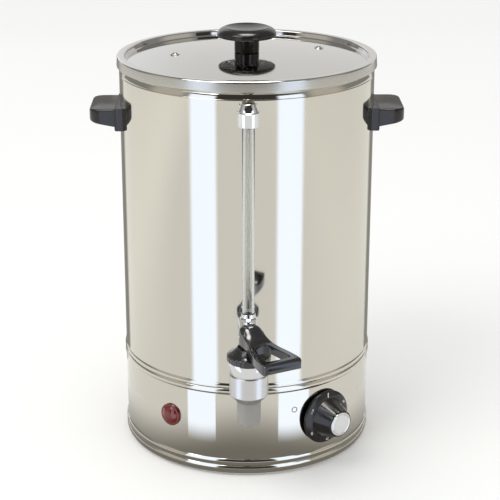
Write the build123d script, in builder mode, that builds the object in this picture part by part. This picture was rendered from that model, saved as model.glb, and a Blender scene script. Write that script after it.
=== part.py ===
"""Hot water urn: polished tank on a base skirt, lift-off lid, sight glass, lever tap and thermostat.

Millimetres, +Z up.  The origin lies on the tank axis, on the surface that the rubber feet stand on.
The tap looks along -Y and +X is on the right of someone who faces the tap.
"""
from build123d import *
import os
from math import cos, radians, sin, sqrt, tan

os.makedirs("parts", exist_ok=True)

# ---------------------------------------------------------------- driving dimensions
# shell
body_radius = 125.0          # outside of tank wall and base skirt
sheet = 0.8                  # stainless sheet of wall, skirt and base plate
foot_drop = 2.0              # base plate rim above the table
waist_z = 93.5               # seam between base skirt and tank
waist_bead = 5.8             # height of the half-round bead on each side of the seam
waist_proud = 1.1
base_bead = 7.4              # height of each of the two beads at the bottom of the skirt
base_proud = 1.6
rim_z = 386.8                # top of the tank rim, where the lid rests
rim_shoulder = 6.6           # height of the shoulder that leans in below the rim
rim_lean = 2.6               # how far the shoulder leans in
rim_bow = 0.5                # how far the shoulder bows out from straight
rim_land = 4.6               # from the wall's outside to the inner edge of the flat rim
fit = 0.05                   # side clearance of parts that are pressed or welded together
running = 0.3                # clearance between parts that move

# tank floor
floor_z = 100.5              # wet side of the tank floor
floor_sheet = 1.0
floor_flange = 3.0

# base plate, feet and clamp studs
plate_raise = 3.0            # middle of the base plate above its rim
plate_joggle = 6.0           # width of the plate's flat rim
foot_radius = 11.0
foot_inset = 29.0            # foot's middle inside the wall
foot_nut_flats = 7.0
stud_radius = 2.5
stud_inset = 21.0            # clamp stud's axis inside the wall
stud_nut_flats = 8.0
nut_height = 4.0
thread_gap = 0.1

# lid
lid_overhang = 2.3           # lid skirt beyond the tank wall
lid_crest_z = 397.0
lid_sheet = 1.2
lid_border = 9.3             # crest and its two slopes, from the sunk panel to the lid skirt
lid_panel_drop = 5.4         # edge of the sunk panel below the crest
lid_dome = 6.6               # rise of the panel from its edge to the knob
lid_gap = 0.3                # lid skirt above the tank rim
locating_step = 1.6          # outside of the centring ring beyond the sunk panel
locating_depth = 8.0
vent_radius = 2.6
vent_places = ((-70.0, -2.0), (72.0, 31.0))

# lid knob
knob_radius = 28.9
knob_head_height = 9.2
knob_band = 4.0              # nearly upright edge of the head, from its underside
knob_slope_run = 7.1         # the head's top slopes in by this much to the dish edge
knob_dish = 3.0
knob_stem_radius = 12.2
knob_height = 24.6           # lid panel to top of the knob
knob_screw_radius = 2.5

# side handles
handle_reach = 28.5          # from the wall to the outer end
handle_half_length = 32.0
handle_top_z = 348.0
handle_root_depth = 17.6     # thickness of the grip beside its root
handle_tip_depth = 12.8
handle_root_reach = 4.0      # root block from the wall outwards
handle_root_above = 1.2      # root block above the grip
handle_root_below = 3.6      # root block below the grip
handle_corner = 11.0
handle_skin = 4.6
handle_screw_radius = 2.0
handle_screw_turn = 9.2      # screws on each side of the handle's middle, about the tank axis
handle_screw_z = 338.0
insert_radius = 3.4
insert_length = 8.0

# tap
tap_reach = 57.0             # tank wall to the tap's vertical axis
tap_shank_z = 127.0
tap_radius = 18.0
tap_top_radius = 19.5
tap_bottom_z = 110.0
tap_chamfer = 7.0
tap_waist_z = 137.0
tap_top_z = 150.0
tap_bore = 12.8
tap_seat_z = 120.0
tap_seat_radius = 6.5
shank_radius = 8.0
shank_bore = 5.0
shank_inside = 17.0          # length of shank inside the tank wall
neck_radius = 9.5
flange_radius = 13.0
flange_thickness = 4.0
gasket = 1.2
backnut_flats = 25.0
backnut_height = 6.0
nozzle_radius = 11.2
nozzle_tip_radius = 10.8
nozzle_bore = 7.4
nozzle_length = 24.0
spigot_radius = 9.0
spigot_length = 6.0

# tap bonnet, stem and lever
bonnet_radius = 20.4
bonnet_rim = 5.6
bonnet_top_radius = 10.0
bonnet_cone = 7.2
bonnet_plug = 7.0
spring_chamber = 8.6
bonnet_notches = 28
notch_radius = 1.1
slip_washer = 3.6            # collar that the lever's heel bears on
slip_washer_radius = 7.0
stem_radius = 2.5
stem_eye_width = 5.0
stem_eye_length = 8.0
stem_eye_rise = 9.4          # top of the eye above the lever pin
pin_radius = 1.5
pin_rise = 8.0               # lever pin above the collar
lever_yaw = 26.7             # lever turned from straight ahead towards +X
lever_hub_rise = 10.8        # top of the hub above the pin
lever_hub_half_width = 10.6
lever_reach = 63.0           # pin to the middle of the grip bar
lever_drop = 7.0             # grip bar below the pin
lever_bar_radius = 5.3
lever_half_width = 18.4
lever_window_start = 25.0
lever_arm = 6.4              # width of the arms beside the window
seat_cup_radius = 9.4
spring_mean_radius = 6.0
spring_wire = 0.6
spring_turns = 6

# sight glass
gauge_reach = 15.0           # tank wall to the glass tube's axis
glass_radius = 5.7
glass_bore = 4.0
glass_foot_z = 175.2
gauge_seal = 0.5
fitting_radius = 10.2
fitting_bottom_z = 359.0
fitting_shoulder_z = 373.0
fitting_top_z = 381.0
fitting_top_radius = 6.5
gauge_port_z = 366.0
gauge_port_radius = 4.5
gauge_port_bore = 2.4
riser_radius = 4.6
cup_wall = 0.5
cup_depth = 4.2

# heating element
element_tube = 4.0
element_ring = 75.0
element_z = 114.0
element_bend = 12.0
element_gap_half = 30.0       # half of the gap in the ring above the legs
element_bush = 6.5
element_nut_flats = 19.0
tail_length = 12.0

# thermostat and its dial
control_z = 53.7
dial_azimuth = 37.1
dial_radius = 27.2
dial_skirt = 3.6
dial_stand_off = 1.4         # dial skirt from the wall
dial_hub_base = 19.4
dial_hub_front = 13.7
dial_reach = 25.2            # wall to the front of the hub
dial_cap_radius = 12.2
dial_cap_height = 1.4
spindle_radius = 3.0
spindle_flat = 1.0
spindle_hole = 6.0
thermostat_width = 36.0
thermostat_height = 30.0
thermostat_depth = 16.0
bracket_half_width = 27.0
bracket_height = 36.0
bracket_sheet = 1.2
bulb_radius = 3.0
bulb_half_length = 32.0
bulb_y = -24.0
capillary_radius = 0.8

# pilot lamp
lamp_azimuth = -37.4
lamp_z = 55.6
lamp_radius = 11.3
lamp_flange = 2.2
lamp_dome = 3.4
lamp_body_radius = 8.0
lamp_body_length = 26.0
lamp_nut_radius = 11.0
lamp_nut_height = 4.0

# dry-boil cut-out with its reset rod
cutout_place = (-46.0, 22.0)
cutout_radius = 12.0
cutout_height = 14.0
cutout_flange = 15.5
reset_rod_radius = 2.0
reset_cap_radius = 4.4
reset_cap_height = 4.6
reset_drop = 1.6             # button below the base plate

# mains inlet, terminals and wiring
inlet_z = 40.0
inlet_half_width = 14.0
inlet_half_height = 11.0
inlet_flange_half_width = 27.0
inlet_flange_half_height = 16.0
inlet_flange_reach = 6.0
inlet_depth = 28.0
inlet_socket_depth = 17.0
inlet_wall = 2.0
inlet_pitch = 7.0
inlet_screw_place = 20.5
inlet_screw_radius = 1.8
terminal_size = (38.0, 16.0, 14.0)
terminal_y = 42.0
terminal_pitch = 12.0
earth_place = (44.0, 60.0)
lead_radius = 1.3
lead_bend = 6.0

# ---------------------------------------------------------------- derived places
wall_inside = body_radius - sheet
foot_circle = body_radius - foot_inset
stud_circle = body_radius - stud_inset
lid_radius = body_radius + lid_overhang
lid_panel_radius = lid_radius - lid_border
locating_radius = lid_panel_radius + locating_step
plate_z = foot_drop
plate_top = plate_z + plate_raise + sheet
skirt_z = plate_z + sheet
foot_height = plate_z + plate_raise
tap_y = -(body_radius + tap_reach)
gauge_y = -(body_radius + gauge_reach)
floor_under = floor_z - floor_sheet
bonnet_top = tap_top_z + bonnet_rim + bonnet_cone
washer_top = bonnet_top + running + slip_washer
pin_z = washer_top + pin_rise
panel_edge_z = lid_crest_z - lid_panel_drop
panel_top_z = panel_edge_z + lid_dome
handle_screw_azimuths = [side + turn for side in (-90, 90) for turn in (-handle_screw_turn, handle_screw_turn)]
cup_radius = glass_radius + gauge_seal + cup_wall + 2 * fit
lever_yaw_rad = radians(lever_yaw)
lever_forward = Vector(sin(lever_yaw_rad), -cos(lever_yaw_rad), 0)
lever_across = Vector(cos(lever_yaw_rad), sin(lever_yaw_rad), 0)


def radial_plane(azimuth, height, distance=0.0):
    """Plane that faces outwards at an azimuth from the tap: its x is along the wall, its y is up."""
    turn = radians(azimuth)
    out = Vector(sin(turn), -cos(turn), 0)
    return Plane(origin=out * distance + Vector(0, 0, height), x_dir=(cos(turn), sin(turn), 0), z_dir=out)


def flat_on_wall(half_width, radius):
    """Distance from the axis to a chord of the given half width inside a round wall."""
    return sqrt(radius ** 2 - half_width ** 2)


def beaded_sheet(radius, spans):
    """Section of a sheet wall, drawn up the outside and down the inside; spans are (z0, z1, proud)."""
    for low, high, proud in spans:
        if proud:
            ThreePointArc((radius, low), (radius + proud, (low + high) / 2), (radius, high))
        else:
            Line((radius, low), (radius, high))
    for low, high, proud in reversed(spans):
        if proud:
            middle = (radius - sheet + proud, (low + high) / 2)
            ThreePointArc((radius - sheet, high), middle, (radius - sheet, low))
        else:
            Line((radius - sheet, high), (radius - sheet, low))


def hex_ring(flats, bore):
    """Hexagon nut section on the current plane."""
    RegularPolygon(flats / 2, 6, major_radius=False)
    Circle(bore, mode=Mode.SUBTRACT)


def ring(outer, bore):
    """Washer section on the current plane."""
    Circle(outer)
    Circle(bore, mode=Mode.SUBTRACT)


def finish_part(piece, name):
    """Label a finished sub-part and write its STEP file."""
    piece.part.label = name
    export_step(piece.part, f"parts/{name}.step")


# ---------------------------------------------------------------- tank wall
wall_hole_gap = 0.3
waist_top = waist_z + waist_bead
shoulder_z = rim_z - rim_shoulder
shoulder_mid_z = rim_z - rim_shoulder / 2
with BuildPart() as tank_wall:
    with BuildSketch(Plane.XZ):
        with BuildLine():
            beaded_sheet(body_radius, [(waist_z, waist_top, waist_proud), (waist_top, shoulder_z, 0)])
            Line((body_radius, waist_z), (wall_inside, waist_z))
            ThreePointArc(
                (body_radius, shoulder_z), (body_radius - rim_lean / 2 + rim_bow, shoulder_mid_z),
                (body_radius - rim_lean, rim_z),
            )
            Polyline(
                (body_radius - rim_lean, rim_z), (body_radius - rim_land, rim_z),
                (body_radius - rim_land, rim_z - sheet), (wall_inside - rim_lean, rim_z - sheet),
            )
            ThreePointArc(
                (wall_inside - rim_lean, rim_z - sheet), (wall_inside - rim_lean / 2 + rim_bow, shoulder_mid_z),
                (wall_inside, shoulder_z),
            )
        make_face()
    revolve(axis=Axis.Z)
    with BuildSketch(radial_plane(0, tap_shank_z, body_radius / 2)):
        Circle(shank_radius + wall_hole_gap)
    extrude(amount=body_radius, mode=Mode.SUBTRACT)
    with BuildSketch(radial_plane(0, gauge_port_z, body_radius / 2)):
        Circle(gauge_port_radius + wall_hole_gap)
    extrude(amount=body_radius, mode=Mode.SUBTRACT)
    for azimuth in handle_screw_azimuths:
        with BuildSketch(radial_plane(azimuth, handle_screw_z, body_radius / 2)):
            Circle(handle_screw_radius + wall_hole_gap)
        extrude(amount=body_radius, mode=Mode.SUBTRACT)
finish_part(tank_wall, "tank_wall")

# ---------------------------------------------------------------- tank floor
# the element's legs bend into its ring in the upright plane that touches the ring
element_ring_y = sqrt(element_ring ** 2 - element_gap_half ** 2)
element_leg_x = element_gap_half - element_bend * element_ring_y / element_ring
element_leg_y = element_ring_y + element_bend * element_gap_half / element_ring
leg_places = ((element_leg_x, element_leg_y), (-element_leg_x, element_leg_y))
with BuildPart() as tank_floor:
    with BuildSketch(Plane.XZ):
        with BuildLine():
            flange_radius_out = wall_inside - fit
            Polyline(
                (0, floor_z), (flange_radius_out, floor_z), (flange_radius_out, floor_z - floor_flange),
                (flange_radius_out - floor_sheet, floor_z - floor_flange),
                (flange_radius_out - floor_sheet, floor_under), (0, floor_under), close=True,
            )
        make_face()
    revolve(axis=Axis.Z)
    with BuildSketch(Plane.XY.offset(floor_under - 1)):
        with Locations(*leg_places):
            Circle(element_bush + wall_hole_gap)
    extrude(amount=floor_sheet + 2, mode=Mode.SUBTRACT)
finish_part(tank_floor, "tank_floor")

# ---------------------------------------------------------------- base skirt
bead_top_1 = skirt_z + sheet + base_bead
bead_top_2 = bead_top_1 + base_bead
with BuildPart() as base_skirt:
    with BuildSketch(Plane.XZ):
        with BuildLine():
            beaded_sheet(body_radius, [
                (skirt_z, skirt_z + sheet, 0),
                (skirt_z + sheet, bead_top_1, base_proud),
                (bead_top_1, bead_top_2, base_proud),
                (bead_top_2, waist_z - waist_bead, 0),
                (waist_z - waist_bead, waist_z, waist_proud),
            ])
            Line((body_radius, waist_z), (wall_inside, waist_z))
            Line((body_radius, skirt_z), (wall_inside, skirt_z))
        make_face()
        with Locations((body_radius - plate_joggle / 2, skirt_z + sheet / 2)):
            Rectangle(plate_joggle, sheet)
    revolve(axis=Axis.Z)
    with BuildSketch(radial_plane(dial_azimuth, control_z, body_radius / 2)):
        Circle(spindle_hole)
    extrude(amount=body_radius, mode=Mode.SUBTRACT)
    with BuildSketch(radial_plane(lamp_azimuth, lamp_z, body_radius / 2)):
        Circle(lamp_body_radius + wall_hole_gap)
    extrude(amount=body_radius, mode=Mode.SUBTRACT)
    with BuildSketch(radial_plane(180, inlet_z, body_radius / 2)):
        Rectangle(2 * (inlet_half_width + wall_hole_gap), 2 * (inlet_half_height + wall_hole_gap))
        with GridLocations(2 * inlet_screw_place, 0, 2, 1):
            Circle(inlet_screw_radius + wall_hole_gap)
    extrude(amount=body_radius, mode=Mode.SUBTRACT)
finish_part(base_skirt, "base_skirt")

# ---------------------------------------------------------------- base plate, feet and studs
plate_radius = body_radius - sheet
plate_step = body_radius - plate_joggle
with BuildPart() as base_plate:
    with BuildSketch(Plane.XZ):
        with BuildLine():
            Polyline(
                (0, plate_top), (plate_step - plate_raise, plate_top), (plate_step, plate_z + sheet),
                (plate_radius, plate_z + sheet), (plate_radius, plate_z), (plate_step - sheet, plate_z),
                (plate_step - plate_raise - sheet, plate_top - sheet), (0, plate_top - sheet), close=True,
            )
        make_face()
    revolve(axis=Axis.Z)
    with BuildSketch(Plane.XY):
        with PolarLocations(foot_circle, 4, start_angle=45):
            Circle(handle_screw_radius + thread_gap)
        with PolarLocations(stud_circle, 3, start_angle=30):
            Circle(stud_radius + thread_gap)
        with Locations(cutout_place):
            Circle(reset_cap_radius + running)
    extrude(amount=foot_height + 2 * sheet, mode=Mode.SUBTRACT)
finish_part(base_plate, "base_plate")

foot_recess = 2.4
foot_places = [(x * foot_circle / sqrt(2), y * foot_circle / sqrt(2)) for x in (-1, 1) for y in (-1, 1)]
with BuildPart() as rubber_feet:
    for place in foot_places:
        with BuildSketch(Plane(origin=(place[0], place[1], 0))):
            Circle(foot_radius - 1)
        with BuildSketch(Plane(origin=(place[0], place[1], foot_height))):
            Circle(foot_radius)
        loft()
    with BuildSketch(Plane.XY):
        with PolarLocations(foot_circle, 4, start_angle=45):
            Circle(handle_screw_radius + thread_gap)
    extrude(amount=foot_height, mode=Mode.SUBTRACT)
    with BuildSketch(Plane.XY):
        with PolarLocations(foot_circle, 4, start_angle=45):
            Circle(2 * handle_screw_radius + 0.2)
    extrude(amount=foot_recess, mode=Mode.SUBTRACT)
finish_part(rubber_feet, "rubber_feet")

with BuildPart() as foot_screws:
    with BuildSketch(Plane.XY.offset(foot_recess - 1.6)):
        with PolarLocations(foot_circle, 4, start_angle=45):
            Circle(2 * handle_screw_radius)
    extrude(amount=1.6)
    with BuildSketch(Plane.XY.offset(foot_recess)):
        with PolarLocations(foot_circle, 4, start_angle=45):
            Circle(handle_screw_radius)
    extrude(amount=plate_top + nut_height + 1 - foot_recess)
finish_part(foot_screws, "foot_screws")

with BuildPart() as base_studs:
    with BuildSketch(Plane.XY.offset(plate_z + plate_raise - nut_height + sheet)):
        with PolarLocations(stud_circle, 3, start_angle=30):
            Circle(stud_radius)
    extrude(amount=floor_under - (plate_z + plate_raise - nut_height + sheet))
finish_part(base_studs, "base_studs")

with BuildPart() as base_nuts:
    with BuildSketch(Plane.XY.offset(plate_top - sheet - nut_height)):
        with PolarLocations(stud_circle, 3, start_angle=30):
            hex_ring(stud_nut_flats, stud_radius + thread_gap)
    extrude(amount=nut_height)
    with BuildSketch(Plane.XY.offset(plate_top)):
        with PolarLocations(foot_circle, 4, start_angle=45):
            hex_ring(foot_nut_flats, handle_screw_radius + thread_gap)
    extrude(amount=nut_height)
finish_part(base_nuts, "base_nuts")

# ---------------------------------------------------------------- lid
lid_skirt_z = rim_z + lid_gap
crest_corner = 1.7
recess_slope = 1.2
recess_inner = lid_panel_radius + recess_slope
dome_radius = (lid_panel_radius ** 2 + lid_dome ** 2) / (2 * lid_dome)
dome_mid = lid_panel_radius / 2
dome_mid_z = panel_top_z - dome_radius + sqrt(dome_radius ** 2 - dome_mid ** 2)
arc_mid = crest_corner * (1 - sqrt(0.5))
with BuildPart() as lid_panel:
    with BuildSketch(Plane.XZ):
        with BuildLine():
            # upper face: dome, sunk wall, flat crest with rounded edges, skirt and its inward hem
            ThreePointArc((0, panel_top_z), (dome_mid, dome_mid_z), (lid_panel_radius, panel_edge_z))
            Line((lid_panel_radius, panel_edge_z), (recess_inner, lid_crest_z - crest_corner))
            ThreePointArc(
                (recess_inner, lid_crest_z - crest_corner), (recess_inner + arc_mid, lid_crest_z - arc_mid),
                (recess_inner + crest_corner, lid_crest_z),
            )
            Line((recess_inner + crest_corner, lid_crest_z), (lid_radius - crest_corner, lid_crest_z))
            ThreePointArc(
                (lid_radius - crest_corner, lid_crest_z), (lid_radius - arc_mid, lid_crest_z - arc_mid),
                (lid_radius, lid_crest_z - crest_corner),
            )
            Line((lid_radius, lid_crest_z - crest_corner), (lid_radius, lid_skirt_z))
            Line((lid_radius, lid_skirt_z), (body_radius - rim_land, lid_skirt_z))
            # lower face, back to the middle
            Polyline(
                (body_radius - rim_land, lid_skirt_z), (body_radius - rim_land, lid_skirt_z + lid_sheet),
                (lid_radius - lid_sheet, lid_skirt_z + lid_sheet),
                (lid_radius - lid_sheet, lid_crest_z - crest_corner),
                (lid_radius - crest_corner, lid_crest_z - lid_sheet),
                (recess_inner + crest_corner, lid_crest_z - lid_sheet),
                (recess_inner + lid_sheet, lid_crest_z - crest_corner),
                (lid_panel_radius + 0.6, panel_edge_z - lid_sheet),
                (lid_panel_radius, panel_edge_z - lid_sheet),
            )
            ThreePointArc(
                (lid_panel_radius, panel_edge_z - lid_sheet), (dome_mid, dome_mid_z - lid_sheet),
                (0, panel_top_z - lid_sheet),
            )
            Line((0, panel_top_z - lid_sheet), (0, panel_top_z))
        make_face()
    revolve(axis=Axis.Z)
    with BuildSketch(Plane.XY.offset(panel_edge_z - 3 * lid_sheet)):
        Circle(knob_screw_radius + wall_hole_gap)
        with Locations(*vent_places):
            Circle(vent_radius)
    extrude(amount=lid_dome + 5 * lid_sheet, mode=Mode.SUBTRACT)
finish_part(lid_panel, "lid_panel")

ring_top = panel_edge_z - lid_sheet
locating_top = panel_top_z - dome_radius - lid_sheet + sqrt(dome_radius ** 2 - (locating_radius - 4) ** 2)
with BuildPart() as lid_locating_ring:
    with BuildSketch(Plane.XZ):
        with BuildLine():
            inner = locating_radius - 4.0
            Polyline(
                (inner - 4, ring_top - fit), (locating_radius - 1.6, ring_top - fit),
                (locating_radius, ring_top - 2.0), (locating_radius, ring_top - 2.0 - locating_depth),
                (locating_radius - sheet, ring_top - 2.0 - locating_depth),
                (locating_radius - sheet, ring_top - 2.3), (locating_radius - 2.0, ring_top - sheet),
                (inner - 4, ring_top - sheet), close=True,
            )
        make_face()
    revolve(axis=Axis.Z)
finish_part(lid_locating_ring, "lid_locating_ring")

# ---------------------------------------------------------------- lid knob
knob_top_z = panel_top_z + knob_height
head_low_z = knob_top_z - knob_head_height
band_top_z = head_low_z + knob_band
slope_end = knob_radius - knob_slope_run
stem_sag = dome_radius - sqrt(dome_radius ** 2 - knob_stem_radius ** 2)
knob_bore = 2.4
dish_edge = slope_end - 2.2
dish_lip = 0.5
dish_sphere = (dish_edge ** 2 + (knob_dish - dish_lip) ** 2) / (2 * (knob_dish - dish_lip))
dish_mid_rise = dish_sphere - sqrt(dish_sphere ** 2 - (dish_edge / 2) ** 2)
knob_thread_depth = 14.0
with BuildPart() as lid_knob:
    with BuildSketch(Plane.XZ):
        with BuildLine():
            Line((0, panel_top_z), (knob_stem_radius - 1, panel_top_z))
            Line((knob_stem_radius - 1, panel_top_z), (knob_stem_radius, panel_top_z + 1))
            Line((knob_stem_radius, panel_top_z + 1), (knob_stem_radius, head_low_z - 2))
            ThreePointArc(
                (knob_stem_radius, head_low_z - 2), (knob_stem_radius + 0.9, head_low_z - 0.5),
                (knob_stem_radius + 3, head_low_z),
            )
            Line((knob_stem_radius + 3, head_low_z), (knob_radius - 1.5, head_low_z))
            ThreePointArc(
                (knob_radius - 1.5, head_low_z), (knob_radius - 0.44, head_low_z + 0.44),
                (knob_radius, head_low_z + 1.5),
            )
            Line((knob_radius, head_low_z + 1.5), (knob_radius, band_top_z))
            ThreePointArc(
                (knob_radius, band_top_z), (knob_radius - 3.0, band_top_z + 3.2),
                (slope_end, knob_top_z - 0.2),
            )
            ThreePointArc(
                (slope_end, knob_top_z - 0.2), (slope_end - 1.0, knob_top_z),
                (dish_edge, knob_top_z - dish_lip),
            )
            ThreePointArc(
                (dish_edge, knob_top_z - dish_lip), (dish_edge / 2, knob_top_z - knob_dish + dish_mid_rise),
                (0, knob_top_z - knob_dish),
            )
            Line((0, knob_top_z - knob_dish), (0, panel_top_z))
        make_face()
    revolve(axis=Axis.Z)
    with BuildSketch(Plane.XY.offset(panel_top_z)):
        Circle(knob_bore + thread_gap)
    extrude(amount=knob_thread_depth, mode=Mode.SUBTRACT)
finish_part(lid_knob, "lid_knob")

knob_washer = 1.0
under_dome = panel_top_z - lid_sheet
with BuildPart() as lid_knob_washer:
    with BuildSketch(Plane.XY.offset(under_dome - fit - knob_washer)):
        ring(7.0, knob_screw_radius + wall_hole_gap)
    extrude(amount=knob_washer)
finish_part(lid_knob_washer, "lid_knob_washer")

with BuildPart() as lid_knob_screw:
    screw_head_top = under_dome - fit - knob_washer
    with BuildSketch(Plane.XY.offset(screw_head_top - 3.0)):
        Circle(4.6)
    extrude(amount=3.0)
    with BuildSketch(Plane.XY.offset(screw_head_top)):
        Circle(knob_bore)
    extrude(amount=panel_top_z + knob_thread_depth - 1 - screw_head_top)
    chamfer(lid_knob_screw.faces().sort_by(Axis.Z)[0].edges(), 0.8)
finish_part(lid_knob_screw, "lid_knob_screw")

# ---------------------------------------------------------------- side handles
handle_bottom_z = handle_top_z - handle_root_depth
grip_end = body_radius + handle_reach
root_end = body_radius + handle_root_reach
wall_gap = 0.1
recess_start = body_radius + insert_length + 4.4


def handle(side):
    """One moulded handle; side is +1 for the right one and -1 for the left one."""
    with BuildPart() as piece:
        # grip: plan outline with rounded outer corners, cut to its tapering side profile
        with BuildSketch(Plane.XY.offset(handle_bottom_z)):
            with BuildLine():
                start = flat_on_wall(handle_half_length, body_radius) - 6
                FilletPolyline(
                    (side * start, -handle_half_length), (side * grip_end, -handle_half_length),
                    (side * grip_end, handle_half_length), (side * start, handle_half_length),
                    radius=handle_corner,
                )
                Line((side * start, handle_half_length), (side * start, -handle_half_length))
            make_face()
        extrude(amount=handle_root_depth)
        with BuildSketch(Plane.XZ.offset(-handle_half_length - 1)):
            with BuildLine():
                Polyline(
                    (side * root_end, handle_bottom_z - 1), (side * root_end, handle_bottom_z),
                    (side * grip_end, handle_top_z - handle_tip_depth),
                    (side * (grip_end + 1), handle_bottom_z - 1), close=True,
                )
            make_face()
        extrude(amount=2 * handle_half_length + 2, mode=Mode.SUBTRACT)
        fillet(piece.faces().sort_by(Axis.Z)[-1].edges().filter_by(
            lambda edge: abs(edge.center().X) > body_radius - 4), 2.6)
        # root block with a soft step down to the grip
        with BuildSketch(Plane.XZ.offset(-handle_half_length - 1)):
            with BuildLine():
                low = handle_bottom_z - handle_root_below
                high = handle_top_z + handle_root_above
                Polyline(
                    (side * start, low), (side * (root_end - 2.4), low), (side * (root_end - 0.6), low + 1.2),
                    (side * (root_end + 2.2), handle_bottom_z + 1.4), (side * (root_end + 2.2), handle_top_z - 1),
                    (side * (root_end + 1.0), handle_top_z), (side * (root_end - 0.8), high), (side * start, high),
                    close=True,
                )
            make_face()
        extrude(amount=2 * handle_half_length + 2)
        # back face follows the tank wall
        with BuildSketch(Plane.XY.offset(handle_bottom_z - 10)):
            Circle(body_radius + wall_gap)
        extrude(amount=handle_root_depth + 20, mode=Mode.SUBTRACT)
        # finger recess underneath
        with BuildSketch(Plane.XY.offset(handle_bottom_z - 1)):
            with BuildLine():
                recess_end = grip_end - handle_skin
                recess_half = handle_half_length - handle_skin
                FilletPolyline(
                    (side * recess_start, -recess_half), (side * recess_end, -recess_half),
                    (side * recess_end, recess_half), (side * recess_start, recess_half),
                    radius=handle_corner - handle_skin,
                )
                Line((side * recess_start, recess_half), (side * recess_start, -recess_half))
            make_face()
        extrude(amount=handle_root_depth - handle_skin + 1, mode=Mode.SUBTRACT)
        # seats of the threaded inserts
        for turn in (-handle_screw_turn, handle_screw_turn):
            with BuildSketch(radial_plane(side * 90 + turn, handle_screw_z, body_radius - 2)):
                Circle(insert_radius + fit)
            extrude(amount=insert_length + 4, mode=Mode.SUBTRACT)
    return piece


right_handle = handle(1)
finish_part(right_handle, "right_handle")
left_handle = handle(-1)
finish_part(left_handle, "left_handle")

insert_start = body_radius + wall_gap + 0.4
with BuildPart() as handle_inserts:
    for azimuth in handle_screw_azimuths:
        with BuildSketch(radial_plane(azimuth, handle_screw_z, insert_start)):
            ring(insert_radius, handle_screw_radius + thread_gap)
        extrude(amount=insert_length)
finish_part(handle_inserts, "handle_inserts")

seal_radius = 4.4
seal_face = flat_on_wall(seal_radius, wall_inside) - fit
with BuildPart() as handle_seals:
    for azimuth in handle_screw_azimuths:
        with BuildSketch(radial_plane(azimuth, handle_screw_z, seal_face - 1.0)):
            ring(seal_radius, handle_screw_radius + thread_gap)
        extrude(amount=1.0)
finish_part(handle_seals, "handle_seals")

with BuildPart() as handle_screws:
    for azimuth in handle_screw_azimuths:
        with BuildSketch(radial_plane(azimuth, handle_screw_z, seal_face - 3.4)):
            Circle(2 * handle_screw_radius)
        extrude(amount=2.4)
        with BuildSketch(radial_plane(azimuth, handle_screw_z, seal_face - 1.0)):
            Circle(handle_screw_radius)
        extrude(amount=insert_start + insert_length - 0.5 - seal_face + 1.0)
finish_part(handle_screws, "handle_screws")

# ---------------------------------------------------------------- sight glass
glass_top = fitting_bottom_z + cup_depth
with BuildPart() as gauge_top_fitting:
    with BuildSketch(Plane(origin=(0, gauge_y, 0), x_dir=(1, 0, 0), z_dir=(0, -1, 0))):
        with BuildLine():
            Line((0, fitting_bottom_z), (fitting_radius - 1.6, fitting_bottom_z))
            ThreePointArc(
                (fitting_radius - 1.6, fitting_bottom_z), (fitting_radius - 0.5, fitting_bottom_z + 0.5),
                (fitting_radius, fitting_bottom_z + 1.6),
            )
            Polyline(
                (fitting_radius, fitting_bottom_z + 1.6), (fitting_radius, fitting_shoulder_z - 0.4),
                (fitting_radius - 0.5, fitting_shoulder_z), (fitting_top_radius, fitting_top_z - 1.0),
                (fitting_top_radius - 1.0, fitting_top_z), (0, fitting_top_z), (0, fitting_bottom_z),
            )
        make_face()
    revolve(axis=Axis((0, gauge_y, 0), (0, 0, 1)))
    with BuildSketch(radial_plane(0, gauge_port_z, wall_inside - 9.0)):
        Circle(gauge_port_radius)
    extrude(amount=gauge_reach + 9.0)
    with BuildSketch(radial_plane(0, gauge_port_z, body_radius + gasket)):
        Circle(gauge_port_radius + 2.6)
    extrude(amount=gauge_reach - gasket - fitting_radius + 3.0)
    with BuildSketch(Plane(origin=(0, gauge_y, fitting_bottom_z))):
        Circle(glass_radius + gauge_seal + 2 * fit)
    extrude(amount=fitting_shoulder_z - fitting_bottom_z, mode=Mode.SUBTRACT)
    with BuildSketch(radial_plane(0, gauge_port_z, wall_inside - 10)):
        Circle(gauge_port_bore)
    extrude(amount=gauge_reach + 10, mode=Mode.SUBTRACT)
finish_part(gauge_top_fitting, "gauge_top_fitting")


wall_ports = (
    (gauge_port_z, gauge_port_radius, gauge_port_radius + 2.6, 7.5, 1.2),
    (tap_shank_z, shank_radius, flange_radius, flange_radius + 1, 1.6),
)
with BuildPart() as wall_gaskets:
    # outside the wall: backs follow the wall, fronts are flat
    for height, bore, outer, _, _ in wall_ports:
        with BuildSketch(radial_plane(0, height, body_radius - 4)):
            ring(outer, bore + fit)
        extrude(amount=gasket + 4 - fit)
    with BuildSketch(Plane.XY.offset(waist_z)):
        Circle(body_radius + fit)
    extrude(amount=rim_z - waist_z, mode=Mode.SUBTRACT)
finish_part(wall_gaskets, "wall_gaskets")

with BuildPart() as wall_washers:
    # inside the wall: faces follow the wall, backs are flat for the nuts
    for height, bore, _, outer, thickness in wall_ports:
        with BuildSketch(radial_plane(0, height, flat_on_wall(outer, wall_inside) - thickness)):
            ring(outer, bore + fit)
        extrude(amount=thickness + 4)
    with BuildSketch(Plane.XY.offset(waist_z)):
        Circle(body_radius + 10)
        Circle(wall_inside - fit, mode=Mode.SUBTRACT)
    extrude(amount=rim_z - waist_z, mode=Mode.SUBTRACT)
finish_part(wall_washers, "wall_washers")

with BuildPart() as gauge_nut:
    with BuildSketch(radial_plane(0, gauge_port_z, flat_on_wall(7.5, wall_inside) - 1.2 - nut_height)):
        hex_ring(13.0, gauge_port_radius + fit)
    extrude(amount=nut_height)
finish_part(gauge_nut, "gauge_nut")

with BuildPart() as gauge_glass:
    with BuildSketch(Plane(origin=(0, gauge_y, glass_foot_z))):
        ring(glass_radius, glass_bore)
    extrude(amount=glass_top - glass_foot_z)
finish_part(gauge_glass, "gauge_glass")

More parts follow.
